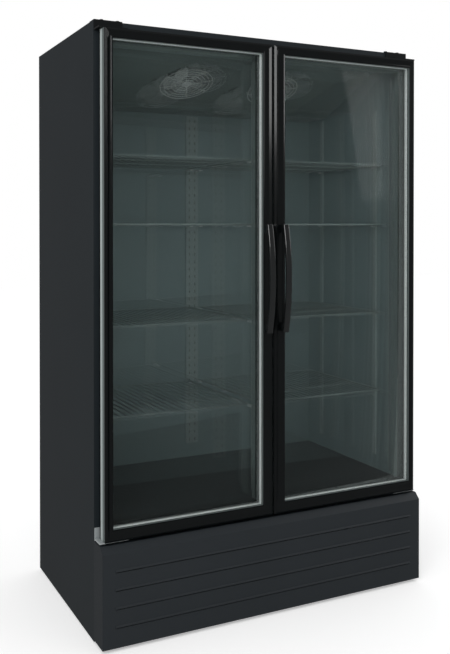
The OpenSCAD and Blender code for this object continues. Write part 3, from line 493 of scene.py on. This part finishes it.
def makeBowTree():
    # a flat bar that bows outward between its two ends
    tree, given = newTree("bowedGrip", Length=0.38, Rise=0.022, Width=0.024, Thickness=0.013, Corner=0.005,
                          Centre=(0, 0, 0))
    points = []
    for axis, label, share in (("Z", "Length", -0.5), ("Y", "Rise", -1.0), ("Z", "Length", 0.5)):
        reach = addNode(tree, "ShaderNodeMath", {0: given[label], 1: share}, operation="MULTIPLY")
        points.append(addNode(tree, "ShaderNodeCombineXYZ", {axis: reach}))
    arc = addNode(tree, "GeometryNodeCurveArc", dict(zip(("Start", "Middle", "End"), points), Resolution=48),
                  mode="POINTS")
    section = addNode(tree, "GeometryNodeCurvePrimitiveQuadrilateral",
                      {"Width": given["Width"], "Height": given["Thickness"]})
    rounded = addNode(tree, "GeometryNodeFilletCurve",
                      {"Curve": section, "Radius": given["Corner"], "Count": 5}, mode="POLY")
    swept = addNode(tree, "GeometryNodeCurveToMesh",
                    {"Curve": arc, "Profile Curve": rounded, "Fill Caps": True})
    return closeTree(tree, given, swept)


rowTree, wheelTree, ringTree, bowTree = makeRowTree(), makeWheelTree(), makeRingTree(), makeBowTree()


def grow(tree, values, material, seed=None):
    # runs a tree once and gives back a plain mesh in the first material
    holder = linked("holder", seed or bpy.data.meshes.new("seed"))
    modifier = holder.modifiers.new("repeat", "NODES")
    modifier.node_group = tree
    sockets = {item.name: item.identifier for item in tree.interface.items_tree
               if item.item_type == "SOCKET" and item.in_out == "INPUT"}
    for label, value in {**values, "Material": material}.items():
        modifier[sockets[label]] = value
    mesh = bpy.data.meshes.new_from_object(holder.evaluated_get(bpy.context.evaluated_depsgraph_get()))
    bpy.data.objects.remove(holder)
    mesh.polygons.foreach_set("material_index", [0] * len(mesh.polygons))
    return mesh


def rowOf(seed, material, count, start, step):
    # copies of a mesh in a row, from a start and by a step in mm
    values = {"Count": count, "Start": Vector(start) * mm, "Step": Vector(step) * mm}
    return grow(rowTree, values, material, seed)


def wheelOf(seed, material, count, first, place):
    # copies of a mesh round a place's Z, from a first angle in radians
    return grow(wheelTree, {"Count": count, "First": first, "Centre": place.translation,
                            "Turn": place.to_euler()}, material, seed)


def slabMesh(size):
    # a box about the origin, its size in mm
    bm = bmesh.new()
    half = Vector(size) / 2
    boxInto(bm, -half, half)
    return asMesh(bm)


print("helpers ready")


# the doors: black extrusions with a pale band painted as a highlight on their outer edge, round a sealed
# glass pack
door = {"hingeStile": 27, "freeStile": 42, "bottomRail": 42, "topRail": 34, "bite": 10, "paneSetback": 10,
        "pane": 4, "spacer": 16, "spacerShow": 1, "spacerEdge": 0.8, "spacerPlay": 0.2, "spacerBite": 9.7,
        "crest": 7, "crown": 1, "groove": 15.3, "grooveDeep": 5.3, "climb": (0.64, 0.96), "climbSteps": 8,
        "lip": 0.4, "bright": (30, 50), "satin": 12, "chamfer": 2, "play": 0.1, "sealWidth": 13}


def buildDoor(side):
    body = side + "_door"
    low, high = boxOf(body + "_frame")
    depth = high.y - low.y
    stiles = (door["hingeStile"], door["freeStile"])
    widths = (stiles if side == "left" else stiles[::-1]) + (door["bottomRail"], door["topRail"])
    bite, deep, crest, cut, play = (door[key] for key in ("bite", "grooveDeep", "crest", "chamfer", "play"))
    packFront = door["paneSetback"]
    packBack = packFront + 2 * door["pane"] + door["spacer"]
    # the outer side, then a rounded crest, a groove and a hollow climb, then the seat of the glass pack
    # between the two bright depths the outer side takes the painted highlight band
    outer = [(0, cut, depth)] + [(0, 0, back) for back in (depth - cut, *door["bright"][::-1], door["satin"])]
    face = [(0, 0, deep), (0, crest, 0), (0, crest + door["crown"], 0), (0, door["groove"], deep)]
    face += hollowCurve(*door["climb"], deep, door["climbSteps"]) + [(1, 0, door["lip"])]
    inner = [(1, 0, packFront - play), (1, -bite, packFront - play), (1, -bite, packBack + play),
             (1, 0, packBack + play), (1, 0, depth - cut), (1, -cut, depth)]
    # 0 black face, 1 pale band of the side painted as a highlight, 2 satin side and lip
    looks = [0] * len(outer + face + inner)
    looks[2], looks[3], looks[len(outer + face) - 1] = 1, 2, 2
    bm = bmesh.new()
    ringInto(bm, low, high, outer + face + inner, looks, widths)
    addPiece(side + "DoorFrame", asMesh(bm, 30), [blackAnodised, doorEdgeHighlight, dullEdge], body + "_frame",
             body)

    front = packFront + door["pane"] + door["spacerPlay"]
    back = packBack - door["pane"] - door["spacerPlay"]
    show, edge, buried = door["spacerShow"], door["spacerEdge"], -door["spacerBite"]
    profile = [(1, buried, front), (1, show - 1, front), (1, show, front + edge), (1, show, back - edge),
               (1, show - 1, back), (1, buried, back)]
    bm = bmesh.new()
    ringInto(bm, low, high, profile, [1, 0, 0, 0, 1, 1], widths)
    # the spacer's shown face takes the near-white painted highlight, the buried faces the black butyl
    addPiece(side + "GlassSpacer", asMesh(bm, 25), [spacerPaintedHighlight, sealantBlack], body + "_spacer",
             body)

    # a folded seal with a magnet strip in its face
    low, high = boxOf(body + "_gasket")
    thick, wide = high.y - low.y, door["sealWidth"]
    half = [(4, 0), (4, 2), (0.3, 4), (2.2, 6), (0, 8), (0.6, thick - 1), (1.6, thick)]
    profile = [(0, u, v) for u, v in half] + [(0, wide - u, v) for u, v in half[::-1]]
    bm = bmesh.new()
    ringInto(bm, low, high, profile, [0] * len(profile))
    addPiece(side + "DoorSeal", asMesh(bm, 40), [sealRubber], body + "_gasket", body)
    dress(doorGlass, body + "_glass")


# moulded grips: a shallow bow held off the stile by a post at each end; the bow's ends are square to it, so
# its middle line stops short of the solid's ends
grip = {"thickness": 13, "endReach": 32, "corner": 6.3, "short": 2.4, "shallow": 0.2, "lift": 0.1,
        "postTall": 30, "postEnd": 0.8, "postSide": 0.4, "postShare": 0.4, "postBevel": 5}


def buildGrip(side):
    low, high = boxOf(side + "_handle")
    middle = (low + high) / 2
    thick, end, tall, back = grip["thickness"], grip["postEnd"], grip["postTall"], high.y - grip["endReach"]
    bow = grow(bowTree, {"Length": (high.z - low.z - grip["short"]) * mm, "Width": (high.x - low.x) * mm,
                         "Rise": (back - low.y - grip["shallow"]) * mm, "Thickness": thick * mm,
                         "Corner": grip["corner"] * mm,
                         "Centre": Vector((middle.x, back + thick / 2 + grip["lift"], middle.z)) * mm},
               gripPlastic)
    bm = bmesh.new()
    bm.from_mesh(bow)
    for z in (low.z + end, high.z - end - tall):
        boxInto(bm, (low.x + grip["postSide"], back + thick * grip["postShare"], z),
                (high.x - grip["postSide"], high.y, z + tall), grip["postBevel"], 4)
    addPiece(side + "Grip", asMesh(bm, 40), [gripPlastic], side + "_handle", side + "_door")


for side in ("left", "right"):
    buildDoor(side)
for side in ("left", "right"):
    buildGrip(side)
print("doors and grips built")

# wire shelves: a round wire border, close wires front to back, and two cross wires below
shelf = {"border": 8, "wire": 4, "corner": 14, "pitch": 26, "cross": 4, "crossDrop": 1.4}


def buildShelf(node):
    low, high = boxOf(node)
    radius, thin = shelf["border"] / 2, shelf["wire"] / 2
    left, right, near, far = low.x + radius, high.x - radius, low.y + radius, high.y - radius
    corners = (left, near), (right, near), (right, far), (left, far)
    loop = [Vector((x, y, high.z - radius)) for x, y in corners]
    start = (loop[3] + loop[0]) / 2
    bm = bmesh.new()
    tubeInto(bm, softened([start] + loop + [start], shelf["corner"], 4)[:-1], radius, 10, closed=True)
    inner = high.x - low.x - 2 * shelf["border"]
    count = int(inner // shelf["pitch"])
    step = inner / (count + 1)
    third = (high.y - low.y) / 3
    wire = piped([(0, 0, 0), (0, far - near, 0)], thin)
    cross = piped([(0, 0, 0), (right - left, 0, 0)], shelf["cross"] / 2)
    wires = rowOf(wire, wireCoat, count, (low.x + shelf["border"] + step, near, high.z - thin), (step, 0, 0))
    crosses = rowOf(cross, wireCoat, 2, (left, low.y + third, high.z - 2 * thin - shelf["crossDrop"]),
                    (0, third, 0))
    addPiece(node.replace("_shelf_", "WireShelf"), joined([asMesh(bm), wires, crosses], smooth=35),
             [wireCoat], node)


for side in ("left", "right"):
    for level in range(1, 5):
        buildShelf(f"{side}_shelf_{level}")
print("shelves built")

# uprights keep their solids; dark slabs in their recesses are the painted shade of the slots
slots = {"pitch": 32, "tall": 12, "wide": 4, "shade": 0.2, "thick": 8, "depth": 2.85, "front": 60, "rear": 80,
         "middle": 13}
low, high = boxOf("shelf_standards")
shelfLow, shelfHigh = boxOf("left_shelf_1")
count = int((high.z - low.z) // slots["pitch"])
z = low.z + slots["pitch"] / 2
sunk, shade, wide = slots["thick"] - slots["depth"], slots["shade"], slots["wide"]
places = [(x, y, shade, wide) for y in (shelfLow.y + slots["front"], shelfHigh.y - slots["rear"])
          for x in (sunk - high.x, high.x - sunk)]
places += [(x, high.y - sunk, wide, shade) for x in (-slots["middle"], slots["middle"])]
rows = [rowOf(slabMesh((sizeX, sizeY, slots["tall"])), slotShade, count, (x, y, z), (0, 0, slots["pitch"]))
        for x, y, sizeX, sizeY in places]
addPiece("uprightSlots", joined(rows), [slotShade])
dress(uprightCoat, "shelf_standards")
dress(brightZinc, "shelf_clips")
print("uprights built")

# light strips behind the front frame and the mullion: a bright channel under a frosted lens
strips = {"channel": 5, "channelBevel": 0.6, "margin": 1, "end": 8, "round": 3.5}
low, high = boxOf("led_strips")
wide, split, margin, end = high.y - low.y, low.y + strips["channel"], strips["margin"], strips["end"]
middle = boxOf("mullion")[1].x
bm = bmesh.new()
for x in (low.x, -middle, middle - wide, high.x - wide):
    boxInto(bm, (x, low.y, low.z), (x + wide, split, high.z), strips["channelBevel"])
    boxInto(bm, (x + margin, split, low.z + end), (x + wide - margin, high.y, high.z - end),
            strips["round"], 3, material=1)
addPiece("lightStrips", asMesh(bm), [dullEdge, frostedLens], "led_strips")
print("light strips built")

# five-blade fans: moulded ones in the evaporator, a pressed one behind the condenser
blade = {"count": 5, "thick": 1.6, "across": 8, "out": 8, "camber": 0.09, "thinning": 0.6, "trim": 0.06,
         "bore": 4.05}
evaporatorFan = {"first": 0.3, "root": 19, "tip": 89, "hub": 20, "hubTall": 20, "chord": (34, 62),
                 "pitch": (30, 19)}
condenserFan = {"first": 0.1, "root": 21, "tip": 91, "hub": 22, "hubTall": 24, "chord": (36, 64),
                "pitch": (32, 20)}


def bladeMesh(fan):
    # a twisted, slightly cupped blade that grows from the hub along X
    across, out = blade["across"], blade["out"]
    (rootChord, tipChord), (rootPitch, tipPitch) = fan["chord"], fan["pitch"]

    def pointOf(face, i, k):
        t, s = i / out, 2 * k / across - 1
        radius = fan["root"] + (fan["tip"] - fan["root"]) * t
        chord = rootChord + (tipChord - rootChord) * math.sin(t * math.pi * 0.5)
        pitch = math.radians(rootPitch + (tipPitch - rootPitch) * t)
        bow = rootChord * blade["camber"] * (1 - s * s)
        along = s / 2 * chord * math.cos(pitch) - bow * math.sin(pitch)
        height = s / 2 * chord * math.sin(pitch) + bow * math.cos(pitch)
        height += face * blade["thick"] / 2 * (1 - blade["thinning"] * abs(s) ** 3)
        reach = radius - blade["trim"] * fan["tip"] * s * s * t
        return Vector((reach * math.cos(along / radius), reach * math.sin(along / radius), height)) * mm

    bm = bmesh.new()
    sheets = [[[bm.verts.new(pointOf(face, i, k)) for k in range(across + 1)] for i in range(out + 1)]
              for face in (1, -1)]
    for grid in sheets:
        for i in range(out):
            for k in range(across):
                bm.faces.new((grid[i][k], grid[i][k + 1], grid[i + 1][k + 1], grid[i + 1][k]))
    top, bottom = sheets
    rim = [(i, 0) for i in range(out)] + [(out, k) for k in range(across)]
    rim += [(i, across) for i in range(out, 0, -1)] + [(0, k) for k in range(across, 0, -1)]
    for (i, k), (j, n) in zip(rim, rim[1:] + rim[:1]):
        bm.faces.new((top[i][k], top[j][n], bottom[j][n], bottom[i][k]))
    return asMesh(bm, 40)


def placeOf(joint):
    # a joint's place, with its axis as Z
    return Matrix.Translation(Vector(joints[joint]["pos_m"])) @ towards(joints[joint]["axis"])


def buildFan(node, fan, material, hubMaterial):
    place = placeOf(node + "_spin")
    blades = wheelOf(bladeMesh(fan), material, blade["count"], fan["first"], place)
    hub, tall, bore = fan["hub"], fan["hubTall"] / 2, blade["bore"]
    profile = [(bore, 2 - tall), (hub - 5, 2 - tall), (hub - 3, -tall), (hub - 1.5, -tall), (hub, 1.5 - tall),
               (hub, tall - 3), (hub - 3, tall), (bore, tall)]
    mesh = joined([blades], turned(profile, place, 32, 30, True), 40)
    addPiece(node.replace("_", ""), mesh, [material, hubMaterial], node, body=node)


for side in ("left", "right"):
    buildFan(side + "_evaporator_fan", evaporatorFan, fanPlastic, blackPlastic)

# wire guards round a small cap, and behind each a motor can on a bent strap
guard = {"rings": 6, "inner": 30, "outer": 102.5, "wire": 1.5, "forward": 14.5, "spokes": 8, "spokeStart": 16,
         "spokeLift": 1.2, "spokeReach": 14, "first": 22.5}
strap = {"half": 110, "wide": 9, "low": 22, "high": 25, "bevel": 0.8, "legAt": 108, "leg": 2, "legLow": 2.2,
         "legHigh": 23, "legBevel": 0.6}
guardParts = []
bm = bmesh.new()
for side in ("left", "right"):
    place = placeOf(side + "_evaporator_fan_spin")
    base = place @ placed(0, 0, -guard["forward"])
    pitch = (guard["outer"] - guard["inner"]) / (guard["rings"] - 1)
    rings = grow(ringTree, {"Count": guard["rings"], "Inner": guard["inner"] * mm, "Pitch": pitch * mm,
                            "Wire": guard["wire"] * mm, "Centre": base.translation, "Turn": base.to_euler()},
                 guardCoat)
    lift, rim = guard["spokeLift"], guard["outer"] + 0.2
    bent = softened([(guard["spokeStart"], 0, lift), (rim, 0, lift), (rim, 0, guard["spokeReach"])], 6, 4)
    spoke = piped(bent, guard["wire"])
    spokes = wheelOf(spoke, guardCoat, guard["spokes"], math.radians(guard["first"]), base)
    cap = turned([(0, -1.5), (14, -1.5), (18, -0.8), (20, 0.6), (20, 1.4), (0, 1.4)], base, 32, 30)
    guardParts += [rings, spokes, cap]

    can = [(0, -7), (3.6, -7), (3.9, -6.6), (3.9, 24), (22, 24), (26, 27), (26, 50), (23, 54), (0, 54)]
    latheInto(bm, can, place, 28)
    half, wide, leg = strap["half"], strap["wide"], strap["leg"]
    loose = bmesh.new()
    boxInto(loose, (-half, -wide, strap["low"]), (half, wide, strap["high"]), strap["bevel"])
    for x in (-strap["legAt"], strap["legAt"]):
        boxInto(loose, (x - leg, -wide, strap["legLow"]), (x + leg, wide, strap["legHigh"]),
                strap["legBevel"])
    bmesh.ops.transform(loose, matrix=place, verts=loose.verts)
    bm.from_mesh(asMesh(loose))
addPiece("fanGuards", joined(guardParts, smooth=40), [guardCoat], "fan_guards")
addPiece("evaporatorMotors", asMesh(bm), [motorEnamel], "evaporator_motors")

# coils: what the fins stand in from the solid below and above it, and their pitch and thickness
coils = {"evaporator": {"below": (3, 4, 20.5), "above": (3, 4, 8), "pitch": 8, "fin": 0.5, "rows": 4},
         "condenser": {"below": (3, 4, 6), "above": (3, 0, 6), "pitch": 3.5, "fin": 0.6, "rows": 6}}
tubes = {"radius": 4.5, "shares": (0.3, 0.7), "plate": 3, "plateBevel": 0.5}


def buildCoil(kind, materials):
    # thin upright fins along X between end plates, with straight tubes through them
    coil, plate = coils[kind], tubes["plate"]
    low, high = boxOf(kind + "_coil")
    start, end = low + Vector(coil["below"]), high - Vector(coil["above"])
    size, middle = end - start, (start + end) / 2
    count = int(size.x / coil["pitch"])
    step = size.x / count
    fins = rowOf(slabMesh((coil["fin"], size.y, size.z)), materials[0], count,
                 (start.x + step / 2, middle.y, middle.z), (step, 0, 0))
    bm = bmesh.new()
    boxInto(bm, low, (low.x + plate, high.y, high.z), tubes["plateBevel"], material=1)
    boxInto(bm, (high.x - plate, low.y, low.z), high, tubes["plateBevel"], material=1)
    for row in range(coil["rows"]):
        z = start.z + size.z * (row + 0.5) / coil["rows"]
        for share in tubes["shares"]:
            y = start.y + size.y * share
            tubeInto(bm, [(start.x, y, z), (end.x, y, z)], tubes["radius"], 8, material=2)
    addPiece(kind + "Coil", joined([fins, asMesh(bm)]), materials, kind + "_coil")


buildCoil("evaporator", [finMetal, galvanised, drawnCopper])
dress(housingCoat, "evaporator_cover")
print("evaporator built")

# the condensing unit: finned coil, pressed fan, enamelled compressor, copper lines
buildCoil("condenser", [finCoat, finCoat, drawnCopper])
dress(charcoalCoat, "condenser_shroud")
buildFan("condenser_fan", condenserFan, fanMetal, motorEnamel)

motor = {"length": 62, "gap": 12, "postHalf": 22, "postThick": 4, "footHalf": 35.8, "footFront": 14.4,
         "footBack": 19.2, "footThick": 3, "bevel": 0.8}
low, high = boxOf("condenser_motor")
fanAt = Vector(joints["condenser_fan_spin"]["pos_m"]) / mm
toBack = towards((0, 1, 0))
start = boxOf("condenser_shroud")[1].y + motor["gap"]
bm = bmesh.new()
latheInto(bm, [(0, -41), (3.6, -41), (3.9, -40.5), (3.9, -1), (30, 0), (35, 2), (36, 5), (36, 24), (34.5, 25),
               (34.5, 34), (36, 35), (36, 57), (33, motor["length"]), (0, motor["length"])],
          placed(fanAt.x, start, fanAt.z, toBack), 36)
y, half, foot = start + motor["length"] / 3, motor["postHalf"], motor["footHalf"]
boxInto(bm, (fanAt.x - half, y, low.z), (fanAt.x + half, y + motor["postThick"], fanAt.z), motor["bevel"])
boxInto(bm, (fanAt.x - foot, y - motor["footFront"], low.z),
        (fanAt.x + foot, y + motor["footBack"], low.z + motor["footThick"]), motor["bevel"])
addPiece("condenserMotor", asMesh(bm), [motorEnamel], "condenser_motor")

# a welded shell on a foot plate and four rubber mounts, its terminal box at the side
shell = {"radius": 82, "height": 185, "crown": 34, "seam": 2.5, "seamShare": 0.55, "footThick": 4,
         "footWide": 200, "footBevel": 1.2, "boxIn": 74, "boxHalf": 28, "boxShare": 0.35, "boxTall": 70,
         "boxBevel": 4, "mount": 12}
low, high = boxOf("compressor")
mountLow, mountHigh = boxOf("compressor_mount")
centre = (mountLow + mountHigh) / 2
bm = bmesh.new()
r, h, e, floorZ = shell["radius"] - shell["seam"], shell["height"], shell["crown"], low.z + shell["footThick"]
turns = [i * math.pi / 16 for i in range(9)]
bottom = [(r - e + e * math.sin(t), e - e * math.cos(t)) for t in turns]
top = [(r - e + e * math.cos(t), h - e + e * math.sin(t)) for t in turns]
proud, z = r + shell["seam"], h * shell["seamShare"]
seam = [(r, z), (proud, z + 1.5), (proud, z + 4.5), (r, z + 6)]
latheInto(bm, [(0, 0)] + bottom + seam + top + [(0, h)], placed(centre.x, centre.y, floorZ), 48)
boxInto(bm, low, (low.x + shell["footWide"], high.y, floorZ), shell["footBevel"], 2)
z, half = floorZ + h * shell["boxShare"], shell["boxHalf"]
boxInto(bm, (centre.x + shell["boxIn"], centre.y - half, z), (high.x, centre.y + half, z + shell["boxTall"]),
        shell["boxBevel"], 3, material=1)
addPiece("compressorShell", asMesh(bm), [compressorEnamel, blackPlastic], "compressor")
tall, r = mountHigh.z - mountLow.z, shell["mount"]
grommet = turned([(0, 0), (r, 0), (r, 4), (r - 3, 6), (r - 3, tall - 6), (r, tall - 4), (r, tall), (0, tall)],
                 Matrix(), 20)
apart = mountHigh.x - mountLow.x - 2 * r
mounts = [rowOf(grommet, mountRubber, 2, (mountLow.x + r, y, mountLow.z), (apart, 0, 0))
          for y in (mountLow.y + r, mountHigh.y - r)]
addPiece("compressorMounts", joined(mounts), [mountRubber], "compressor_mount")

low, high = boxOf("filter_drier")
x, y, z = (low.x + high.x) / 2, centre.y, (low.z + high.z) / 2
half = [(0, 0), (5, 0), (6, 4), (12, 9), (15, 14)]
drier = turned(half + [(radius, high.y - low.y - back) for radius, back in half[::-1]],
               placed(x, low.y, z, toBack), 24)
addPiece("filterDrier", drier, [drawnCopper], "filter_drier")

# copper lines: coil to drier, drier to the ceiling, compressor to the ceiling, compressor to coil
pipes = {"radius": 4, "bend": 16, "coilBack": 24, "run": 40, "hot": 12, "suction": 30, "suctionRise": 30,
         "suctionRun": 50, "discharge": 20, "dischargeRise": 14}
outY, endY = high.y, high.y + pipes["run"]
coilHigh = boxOf("condenser_coil")[1]
coilX, coilY = coilHigh.x, coilHigh.y - pipes["coilBack"]
top, ceiling = boxOf("compressor")[1].z, boxOf("underfloor_panel")[0].z
suctionX, suctionZ = centre.x - pipes["suction"], top + pipes["suctionRise"]
upX = suctionX - pipes["suctionRun"]
hotX, hotY, hotZ = centre.x + pipes["discharge"], coilY - pipes["hot"], top + pipes["dischargeRise"]
bm = bmesh.new()
for run in ([(coilX, coilY, z), (x, coilY, z), (x, low.y, z)],
            [(x, outY, z), (x, endY, z), (x, endY, ceiling)],
            [(suctionX, y, top), (suctionX, y, suctionZ), (upX, y, suctionZ), (upX, y, ceiling)],
            [(hotX, y, top), (hotX, y, hotZ), (hotX, hotY, hotZ), (coilX, hotY, hotZ)]):
    tubeInto(bm, softened(run, pipes["bend"]), pipes["radius"], 12)
addPiece("refrigerantLines", asMesh(bm, 50), [drawnCopper], "refrigerant_lines")

# a moulded pan: a rounded tray whose floor is sunk from its rim
pan = {"round": 8, "wall": 3, "topFace": 0.01}   # the top face's least area is in square metres
low, high = boxOf("condensate_pan")
bm = bmesh.new()
boxInto(bm, low, high, pan["round"], 3)
upper = [f for f in bm.faces if f.normal.z > 0.95 and f.calc_area() > pan["topFace"]]
bmesh.ops.inset_region(bm, faces=upper, thickness=pan["wall"] * mm)
bmesh.ops.translate(bm, verts=list({v for f in upper for v in f.verts}),
                    vec=(0, 0, (low.z - high.z + pan["wall"]) * mm))
addPiece("condensatePan", asMesh(bm), [blackPlastic], "condensate_pan")
print("condensing unit built")

# the control box with its ribbed dial and its rocker
dial = {"radius": 17, "bore": 3.1, "ribs": 18, "ribRadius": 0.9, "mark": (0.8, 4, 11.5), "markDeep": 0.3}
low, high = boxOf("thermostat_knob")
knobAt = Vector(joints["thermostat_turn"]["pos_m"]) / mm
place = placed(knobAt.x, high.y, knobAt.z, towards((0, -1, 0)))
r, bore, tall = dial["radius"], dial["bore"], high.y - low.y
body = turned([(bore, 0), (r, 0), (r, 2.8), (r - 1, 4), (r - 3, 4.2), (r - 3.8, tall - 1.2), (r - 5, tall),
               (0, tall), (0, tall - 3), (bore, tall - 3)], place, 40, 30, True)
rib = piped([(r - 3.8, 0, 3.5), (r - 4, 0, tall - 1.6)], dial["ribRadius"])
ribs = wheelOf(rib, dialPlastic, dial["ribs"], 0.0, place)
bm = bmesh.new()
half, start, end = dial["mark"]
boxInto(bm, (-half, start, tall - dial["markDeep"]), (half, end, tall))
bmesh.ops.transform(bm, matrix=place, verts=bm.verts)
addPiece("thermostatDial", joined([body, ribs], asMesh(bm)), [dialPlastic, indexMark], "thermostat_knob",
         "thermostat_knob")
dress(galvanised, "control_box")
dress(redRocker, "light_switch")

# hinges, and hexagon bolts with a flange under the head, two in each top hinge
dress(blackZinc, "top_hinges")
dress(brightZinc, "bottom_hinges")
bolt = {"head": 7.2, "tall": 5, "flange": 7.4, "edge": 7.5, "pitch": 57}
low, high = boxOf("hinge_bolts")
r, flange, tall = bolt["head"], bolt["flange"], bolt["tall"]
bm = bmesh.new()
latheInto(bm, [(0, 0), (flange, 0), (flange, 0.9), (5.6, 1), (5.6, 1.2)], Matrix(), 24)
latheInto(bm, [(0, 1), (r - 0.2, 1), (r, 1.6), (r, tall - 0.8), (r - 1.1, tall), (0, tall)], Matrix(), 6)
hexMesh = asMesh(bm, 30)
rows = [rowOf(hexMesh, blackZinc, 2, (x, (low.y + high.y) / 2, low.z), (bolt["pitch"], 0, 0))
        for x in (low.x + bolt["edge"], high.x - bolt["edge"] - bolt["pitch"])]
addPiece("hingeBolts", joined(rows), [blackZinc], "hinge_bolts")
print("hinges built")

# feet: a moulded pad under a threaded stem and its lock nut
foot = {"pad": 20, "threads": 15, "pitch": 2, "root": 5.2, "crest": 5.9, "threadLow": 8, "top": 38}
low, high = boxOf("leveling_feet")
pad, root = foot["pad"], foot["root"]
profile = [(0, 0), (pad - 1.5, 0), (pad, 1.2), (pad, 3), (pad / 2, 5.6), (root, 5.8)]
for i in range(foot["threads"]):
    z = foot["threadLow"] + i * foot["pitch"]
    profile += [(root, z), (foot["crest"], z + foot["pitch"] / 2)]
profile += [(root, foot["top"]), (0, foot["top"] + 0.6)]
nut = [(5.3, 30.4), (11, 30.4), (11.8, 31.4), (11.8, 35.6), (11, 36.6), (5.3, 36.6)]
bm = bmesh.new()
for x in (low.x + pad, high.x - pad):
    for y in (low.y + pad, high.y - pad):
        latheInto(bm, profile, placed(x, y, 0), 24)
        latheInto(bm, nut, placed(x, y, 0), 6, closed=True)
addPiece("levellingFeet", asMesh(bm, 30), [brightZinc], "leveling_feet")

# a ribbed gland where the supply cord goes in
low, high = boxOf("power_inlet")
profile = [(5, 0), (8.4, 0), (9, 0.8), (9, 6), (14, 6), (14, 10), (9, 10), (9, 11.5), (13, 11.6), (14, 12.6),
           (14, 14.5), (13, 15.5), (9, 15.5), (9, 17), (8.4, 17.4), (8.8, 18.2), (8.2, 19.5), (5, 19.5)]
gland = turned(profile, placed((low.x + high.x) / 2, low.y, (low.z + high.z) / 2, toBack), closed=True)
addPiece("cordGland", gland, [blackPlastic], "power_inlet")

# the carried-over sheets take their coats
dress(charcoalCoat, "left_side_panel", "right_side_panel", "top_panel")
dress(grilleCoatPaintedLighter, "front_grille")
dress(galvanised, "back_panel", "underfloor_panel", "rear_grille")
dress(railSteel, "base_frame", "base_plate")
dress(linerCoat, "side_liners", "ceiling_liner", "back_liner")
dress(deckCoat, "deck")
dress(frameVinyl, "front_frame", "mullion")
dress(foamCore, "insulation")
print("cabinet dressed")

# a pale room: white straight and through clear glass, and dim to mirroring paths, as the dark glass shows it;
# the floor keeps the shadow
studio = {"sky": "#ffffff", "skyLevel": 0.72, "mirrored": 0.16, "floor": "#f4f4f4", "floorGlow": 0.35,
          "floorSize": 16, "floorDrop": 0.5, "aim": (0, 0, 1.1)}
lamps = {"key": {"at": (-3.2, -3.4, 3.1), "size": 1.9, "power": 60},
         "fill": {"at": (4.4, -1.2, 2.9), "size": 2.6, "power": 30}}
view = {"at": (-1.5442, -3.0288, 1.398), "turn": 0.4673, "pitch": -0.0098, "lens": 47.204, "sensor": 36,
        "shift": -0.14257}


def rayKinds(tree):
    # 1 for paths that have met a mirroring surface, and 1 for those that have met a matt one
    rays = addNode(tree, "ShaderNodeLightPath").outputs
    return [addNode(tree, "ShaderNodeMath", {0: rays[depth], 1: 1.0}, operation="MINIMUM")
            for depth in ("Glossy Depth", "Diffuse Depth")]


scene.world = bpy.data.worlds.new("studio")
tree = emptyTree(scene.world)
mirrored, around = rayKinds(tree)
soft = addNode(tree, "ShaderNodeMapRange", {"Value": around, "To Min": 1.0, "To Max": studio["skyLevel"]})
level = addNode(tree, "ShaderNodeMapRange", {"Value": mirrored, "To Min": soft, "To Max": studio["mirrored"]})
sky = addNode(tree, "ShaderNodeBackground", {"Color": linear(studio["sky"]), "Strength": level})
addNode(tree, "ShaderNodeOutputWorld", {"Surface": sky})

floorCoat = bpy.data.materials.new("studioFloor")
tree = emptyTree(floorCoat)
mirrored, around = rayKinds(tree)
met = addNode(tree, "ShaderNodeMath", {0: mirrored, 1: around}, operation="MAXIMUM")
glow = addNode(tree, "ShaderNodeMapRange", {"Value": met, "To Min": studio["floorGlow"], "To Max": 0.0})
matt = addNode(tree, "ShaderNodeBsdfDiffuse", {"Color": linear(studio["floor"])})
light = addNode(tree, "ShaderNodeEmission", {"Color": linear(studio["sky"]), "Strength": glow})
both = addNode(tree, "ShaderNodeAddShader", {0: matt, 1: light})
# mirrored, the floor has the sky's own level, so that no horizon shows in the glass
calm = addNode(tree, "ShaderNodeEmission", {"Color": linear(studio["sky"]), "Strength": studio["mirrored"]})
chosen = addNode(tree, "ShaderNodeMixShader", {0: mirrored, 1: both, 2: calm})
addNode(tree, "ShaderNodeOutputMaterial", {"Surface": chosen})
bm = bmesh.new()
bmesh.ops.create_grid(bm, x_segments=1, y_segments=1, size=studio["floorSize"])
floor = linked("floor", asMesh(bm))
floor.data.materials.append(floorCoat)
floor.location.z = -studio["floorDrop"] * mm

for name, lamp in lamps.items():
    light = bpy.data.lights.new(name, "AREA")
    light.size = lamp["size"]
    light.energy = lamp["power"]
    holder = linked(name, light)
    holder.location = lamp["at"]
    holder.rotation_euler = (Vector(studio["aim"]) - Vector(lamp["at"])).to_track_quat("-Z", "Y").to_euler()

cameraData = bpy.data.cameras.new("camera")
cameraData.lens = view["lens"]
cameraData.sensor_width = view["sensor"]
cameraData.shift_y = view["shift"]
scene.camera = linked("camera", cameraData)
scene.camera.location = view["at"]
scene.camera.rotation_euler = (math.pi / 2 + view["pitch"], 0, -view["turn"])
scene.view_settings.view_transform = "Standard"
print("studio set")
